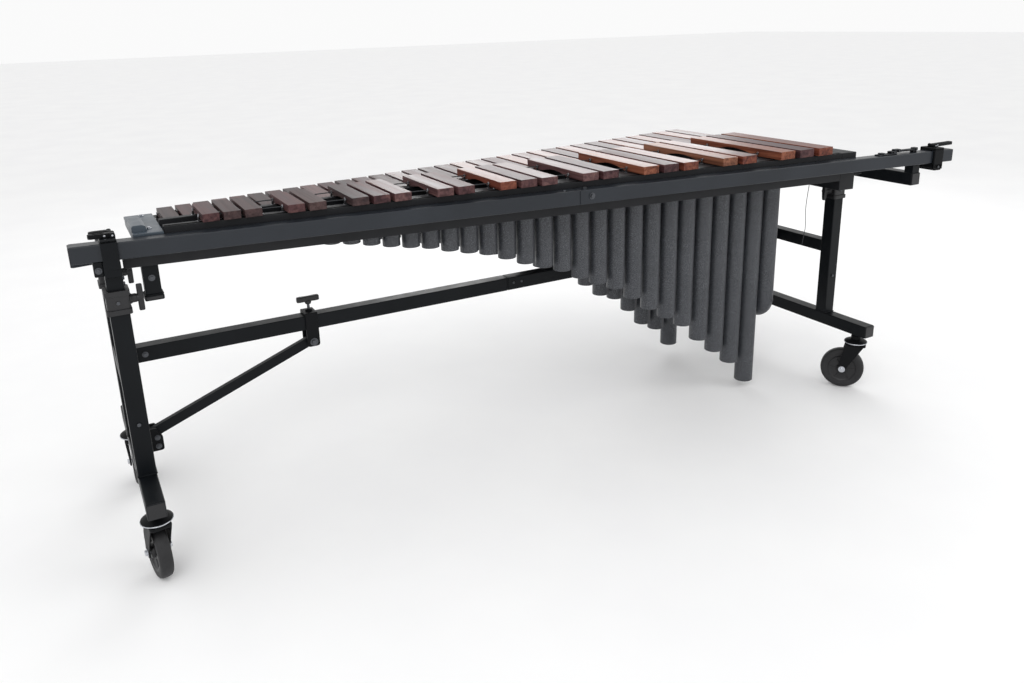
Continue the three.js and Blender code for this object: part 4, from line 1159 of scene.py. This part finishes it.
middle = (STRETCHER_NEAR + STRETCHER_FAR) / 2
level_z = (CROSSBAR_BOTTOM + CROSSBAR_TOP) / 2
for name, x0, x1, way in (
    ("treble", TREBLE_LEG_X + 21.8, STRETCHER_JOIN, 1),
    ("bass", STRETCHER_JOIN + 0.4, BASS_LEG_X - 21.8, -1),
):
    end = x0 if way > 0 else x1
    shape = Shape()
    shape.box(
        x0, x1, STRETCHER_NEAR, STRETCHER_FAR, CROSSBAR_BOTTOM, CROSSBAR_TOP, soft=3, segments=4,
    )
    shape.plate((end + way * 2.5, middle, level_z), Y, Z, rectangle(21, 21, 4), 5, soft=0.8)
    for side in (-1, 1):
        shape.bolt((end + way * 30, middle + side * 21.4, level_z), Y * side, 9, slot=1)
    if name == "bass":
        for dx in (22, 52):
            shape.screw((STRETCHER_JOIN + dx, STRETCHER_NEAR - 0.1, 512), -Y, 4.4, slot=1)
    piece(f"stretcher_{name}", shape, BASE, [PAINT, DARK_STEEL])


# ---- diagonal brace ----
PIVOT = Vector((-797, middle, 450))
BRACE_FOOT = Vector((-1259, middle, 274))

holder = Shape()
for side in (-1, 1):
    outline = rounded([(-19, 436), (18, 436), (18, 538), (-19, 538)], [9, 9, 3, 3])
    holder.plate((PIVOT.x, middle + side * 24.8, 0), X, Z, outline, 5.8, soft=1.2)
holder.box(PIVOT.x - 19, PIVOT.x + 18, middle - 27.5, middle + 27.5, CROSSBAR_TOP + 0.5, 540,
           soft=2, segments=3)
holder.lathe([(4.5, 0), (10, 0), (10, 5), (8.5, 6.5), (4.5, 6.5), (4.5, 0)],
             (PIVOT.x, middle, 539.5), Z, 24)
piece("brace_clamp", holder, "brace_holder", [PAINT_FLAT])

screw = Shape()
screw.lathe([(0, 532.2), (3.2, 532.2), (4, 533.4), (4, 566), (0, 566)], (PIVOT.x, middle, 0), Z, 20,
            slot=1)
screw.lathe([(0, 562), (8, 562), (9.5, 566), (9, 572), (0, 574)], (PIVOT.x, middle, 0), Z, 28)
grip_outline = rounded([(-33, -6), (-22, -8), (0, -5.5), (22, -8), (33, -6), (33, 6), (22, 8),
                        (0, 5.5), (-22, 8), (-33, 6)], 4, 4)
screw.plate((PIVOT.x, middle, 577), X, Y, grip_outline, 16, soft=4, segments=4, limit=0.9)
piece("brace_clamp_screw", screw, "brace_screw", [PLASTIC, DARK_STEEL])

pin = Shape()
pin.rod(PIVOT, Y, 4, -31, 31)
pin.bolt(PIVOT - Y * 27.8, -Y, 13)
pin.bolt(PIVOT + Y * 27.8, Y, 13)
piece("brace_pivot_bolt", pin, "brace_holder", [DARK_STEEL])

along = (PIVOT - BRACE_FOOT).normalized()
across = Y.cross(along)
span = (PIVOT - BRACE_FOOT).length
arm = Shape()
arm.plate(
    (PIVOT + BRACE_FOOT) / 2, along, across, rectangle(span / 2 + 12, 14, [5, 12, 12, 5]), 20,
    soft=2.6, segments=3, limit=0.9,
)
piece("diagonal_brace", arm, "brace_arm", [PAINT])

bracket = Shape()
face_x = TREBLE_LEG_X + half
bracket.box(face_x + GAP, face_x + 6, STRETCHER_NEAR, STRETCHER_FAR, 214, 254, soft=1.2)
bracket_cheek = rounded(
    [(GAP, 222), (40, 222), (40, 262), (26, 290), (GAP, 290)], [2, 8, 10, 6, 2],
)
for y in (STRETCHER_NEAR + 4, STRETCHER_FAR - 4):
    bracket.plate((face_x, y, 0), X, Z, bracket_cheek, 8, soft=1.2)
for z in (236, 262):
    bracket.bolt((face_x + 26, STRETCHER_NEAR, z), -Y, 9, slot=1)
    bracket.bolt((face_x + 26, STRETCHER_FAR, z), Y, 9, slot=1)
piece("brace_foot_bracket", bracket, BASE, [PAINT_FLAT, DARK_STEEL])


# ---- casters ----
# Race disc, its bright edge, neck and stem: slot, segments, profile
FORK_RACE = (
    (0, 56, [(0, 175), (33, 175), (37, 177), (38.5, 179), (38.5, 184), (37, 185.4), (33, 186),
             (30, 189), (19, 191), (0, 191)]),
    (1, 56, [(37, 179.4), (39.4, 179.4), (40, 180.3), (40, 181.4), (39.4, 182.2), (37, 182.2),
             (37, 179.4)]),
    (0, 32, [(0, 190), (17, 190), (17, 204), (15, 206), (15, 211.5), (0, 211.5)]),
    (1, 20, [(0, 211), (7, 211), (7, 235), (0, 236)]),
)


def mirrored(profile):
    """A closed profile from its half above zero."""
    below = [(radius, -height) for radius, height in profile]
    return below + profile[::-1] + below[:1]


def caster(name, x, y, trail):
    """A fork and its wheel, swivelled to trail, in degrees from +X."""
    place = Matrix.Translation((x, y, 0)) @ Matrix.Rotation(math.radians(trail), 4, "Z")
    axle = Vector((CASTER_TRAIL, 0, WHEEL_RADIUS))

    fork = Shape()
    fork.move = place
    cheek = rounded([
        (-33, 175), (33, 175), (CASTER_TRAIL + 15, WHEEL_RADIUS + 6), (CASTER_TRAIL + 11, 61),
        (CASTER_TRAIL - 11, 61), (CASTER_TRAIL - 15, WHEEL_RADIUS + 6),
    ], [6, 8, 10, 9, 9, 10], 6)
    for side in (-1, 1):
        fork.plate((0, side * 25, 0), X, Z, cheek, 4, soft=1.1)
    fork.plate((0, 0, 171), X, Y, rectangle(36, 27, 12, 6), 10, soft=3, segments=3, limit=0.9)
    for slot, segments, profile in FORK_RACE:
        fork.lathe(profile, (0, 0, 0), Z, segments, slot=slot)
    fork.rod(axle, Y, 6, -25, 25, slot=1)
    fork.bolt(axle - Y * 26.9, -Y, 13, slot=1)
    fork.bolt(axle + Y * 26.9, Y, 13, slot=1)
    piece(f"caster_fork_{name}", fork, f"fork_{name}", [PAINT_FLAT, STEEL])

    wheel = Shape()
    wheel.move = place
    wheel.lathe(mirrored([
        (54, 15.5), (57, 16.6), (64, 17), (69, 16.2), (72.6, 13.5), (74.4, 9), (WHEEL_RADIUS, 3),
    ]), axle, Y, 72)
    wheel.lathe(mirrored([
        (6.5, 20), (17, 20), (18.5, 18.5), (19.5, 12.5), (24, 11), (42, 11), (47, 12.5), (50, 15.5),
        (54.5, 15.8),
    ]), axle, Y, 64, slot=1)
    for k in range(6):
        angle = math.pi * k / 3
        out = Vector((math.cos(angle), 0, math.sin(angle)))
        for side in (-1, 1):
            base = axle + Y * side * 11.4
            wheel.pipe([base + out * 21, base + out * 45], 1.7, 8, slot=1)
    piece(f"caster_wheel_{name}", wheel, f"wheel_{name}", [RUBBER, PLASTIC])


for name, (x, y, trail) in CASTERS.items():
    caster(name, x, y, trail)

# ---- room and light ----
floor_mesh = bpy.data.meshes.new("floor")
floor_mesh.from_pydata(
    [(-40, -40, 0), (40, -40, 0), (40, 40, 0), (-40, 40, 0)], [], [(0, 1, 2, 3)],
)
floor = bpy.data.objects.new("floor", floor_mesh)
bpy.context.scene.collection.objects.link(floor)
paper = Nodes("pale_floor", specular=0.1)
paper_tone = paper.ramp(
    paper.noise(2.0, 3), [(0.3, (0.90, 0.90, 0.905)), (0.7, (0.93, 0.93, 0.93))],
)
floor_mesh.materials.append(paper.finish(paper_tone, paper.span(paper.noise(3, 2), 0.8, 0.9)))

world = bpy.data.worlds.new("studio")
bpy.context.scene.world = world
world.use_nodes = True
world.node_tree.nodes["Background"].inputs["Color"].default_value = (1, 1, 1, 1)
world.node_tree.nodes["Background"].inputs["Strength"].default_value = 0.96
bpy.context.scene.view_settings.view_transform = "Standard"


def soft_light(name, location, target, size, power):
    data = bpy.data.lights.new(name, "AREA")
    data.shape = "RECTANGLE"
    data.size, data.size_y = size
    data.energy = power
    light = bpy.data.objects.new(name, data)
    light.location = location
    light.rotation_euler = (Vector(target) - Vector(location)).to_track_quat("-Z", "Y").to_euler()
    bpy.context.scene.collection.objects.link(light)


soft_light("key", (-2.6, -3.2, 3.4), (0, 0, 0.6), (2.4, 2.0), 45)
soft_light("fill", (3.0, -3.0, 2.6), (0.4, 0, 0.5), (2.4, 2.0), 25)
soft_light("back", (2.2, 3.6, 1.9), (0.2, 0, 0.8), (3.0, 1.0), 40)
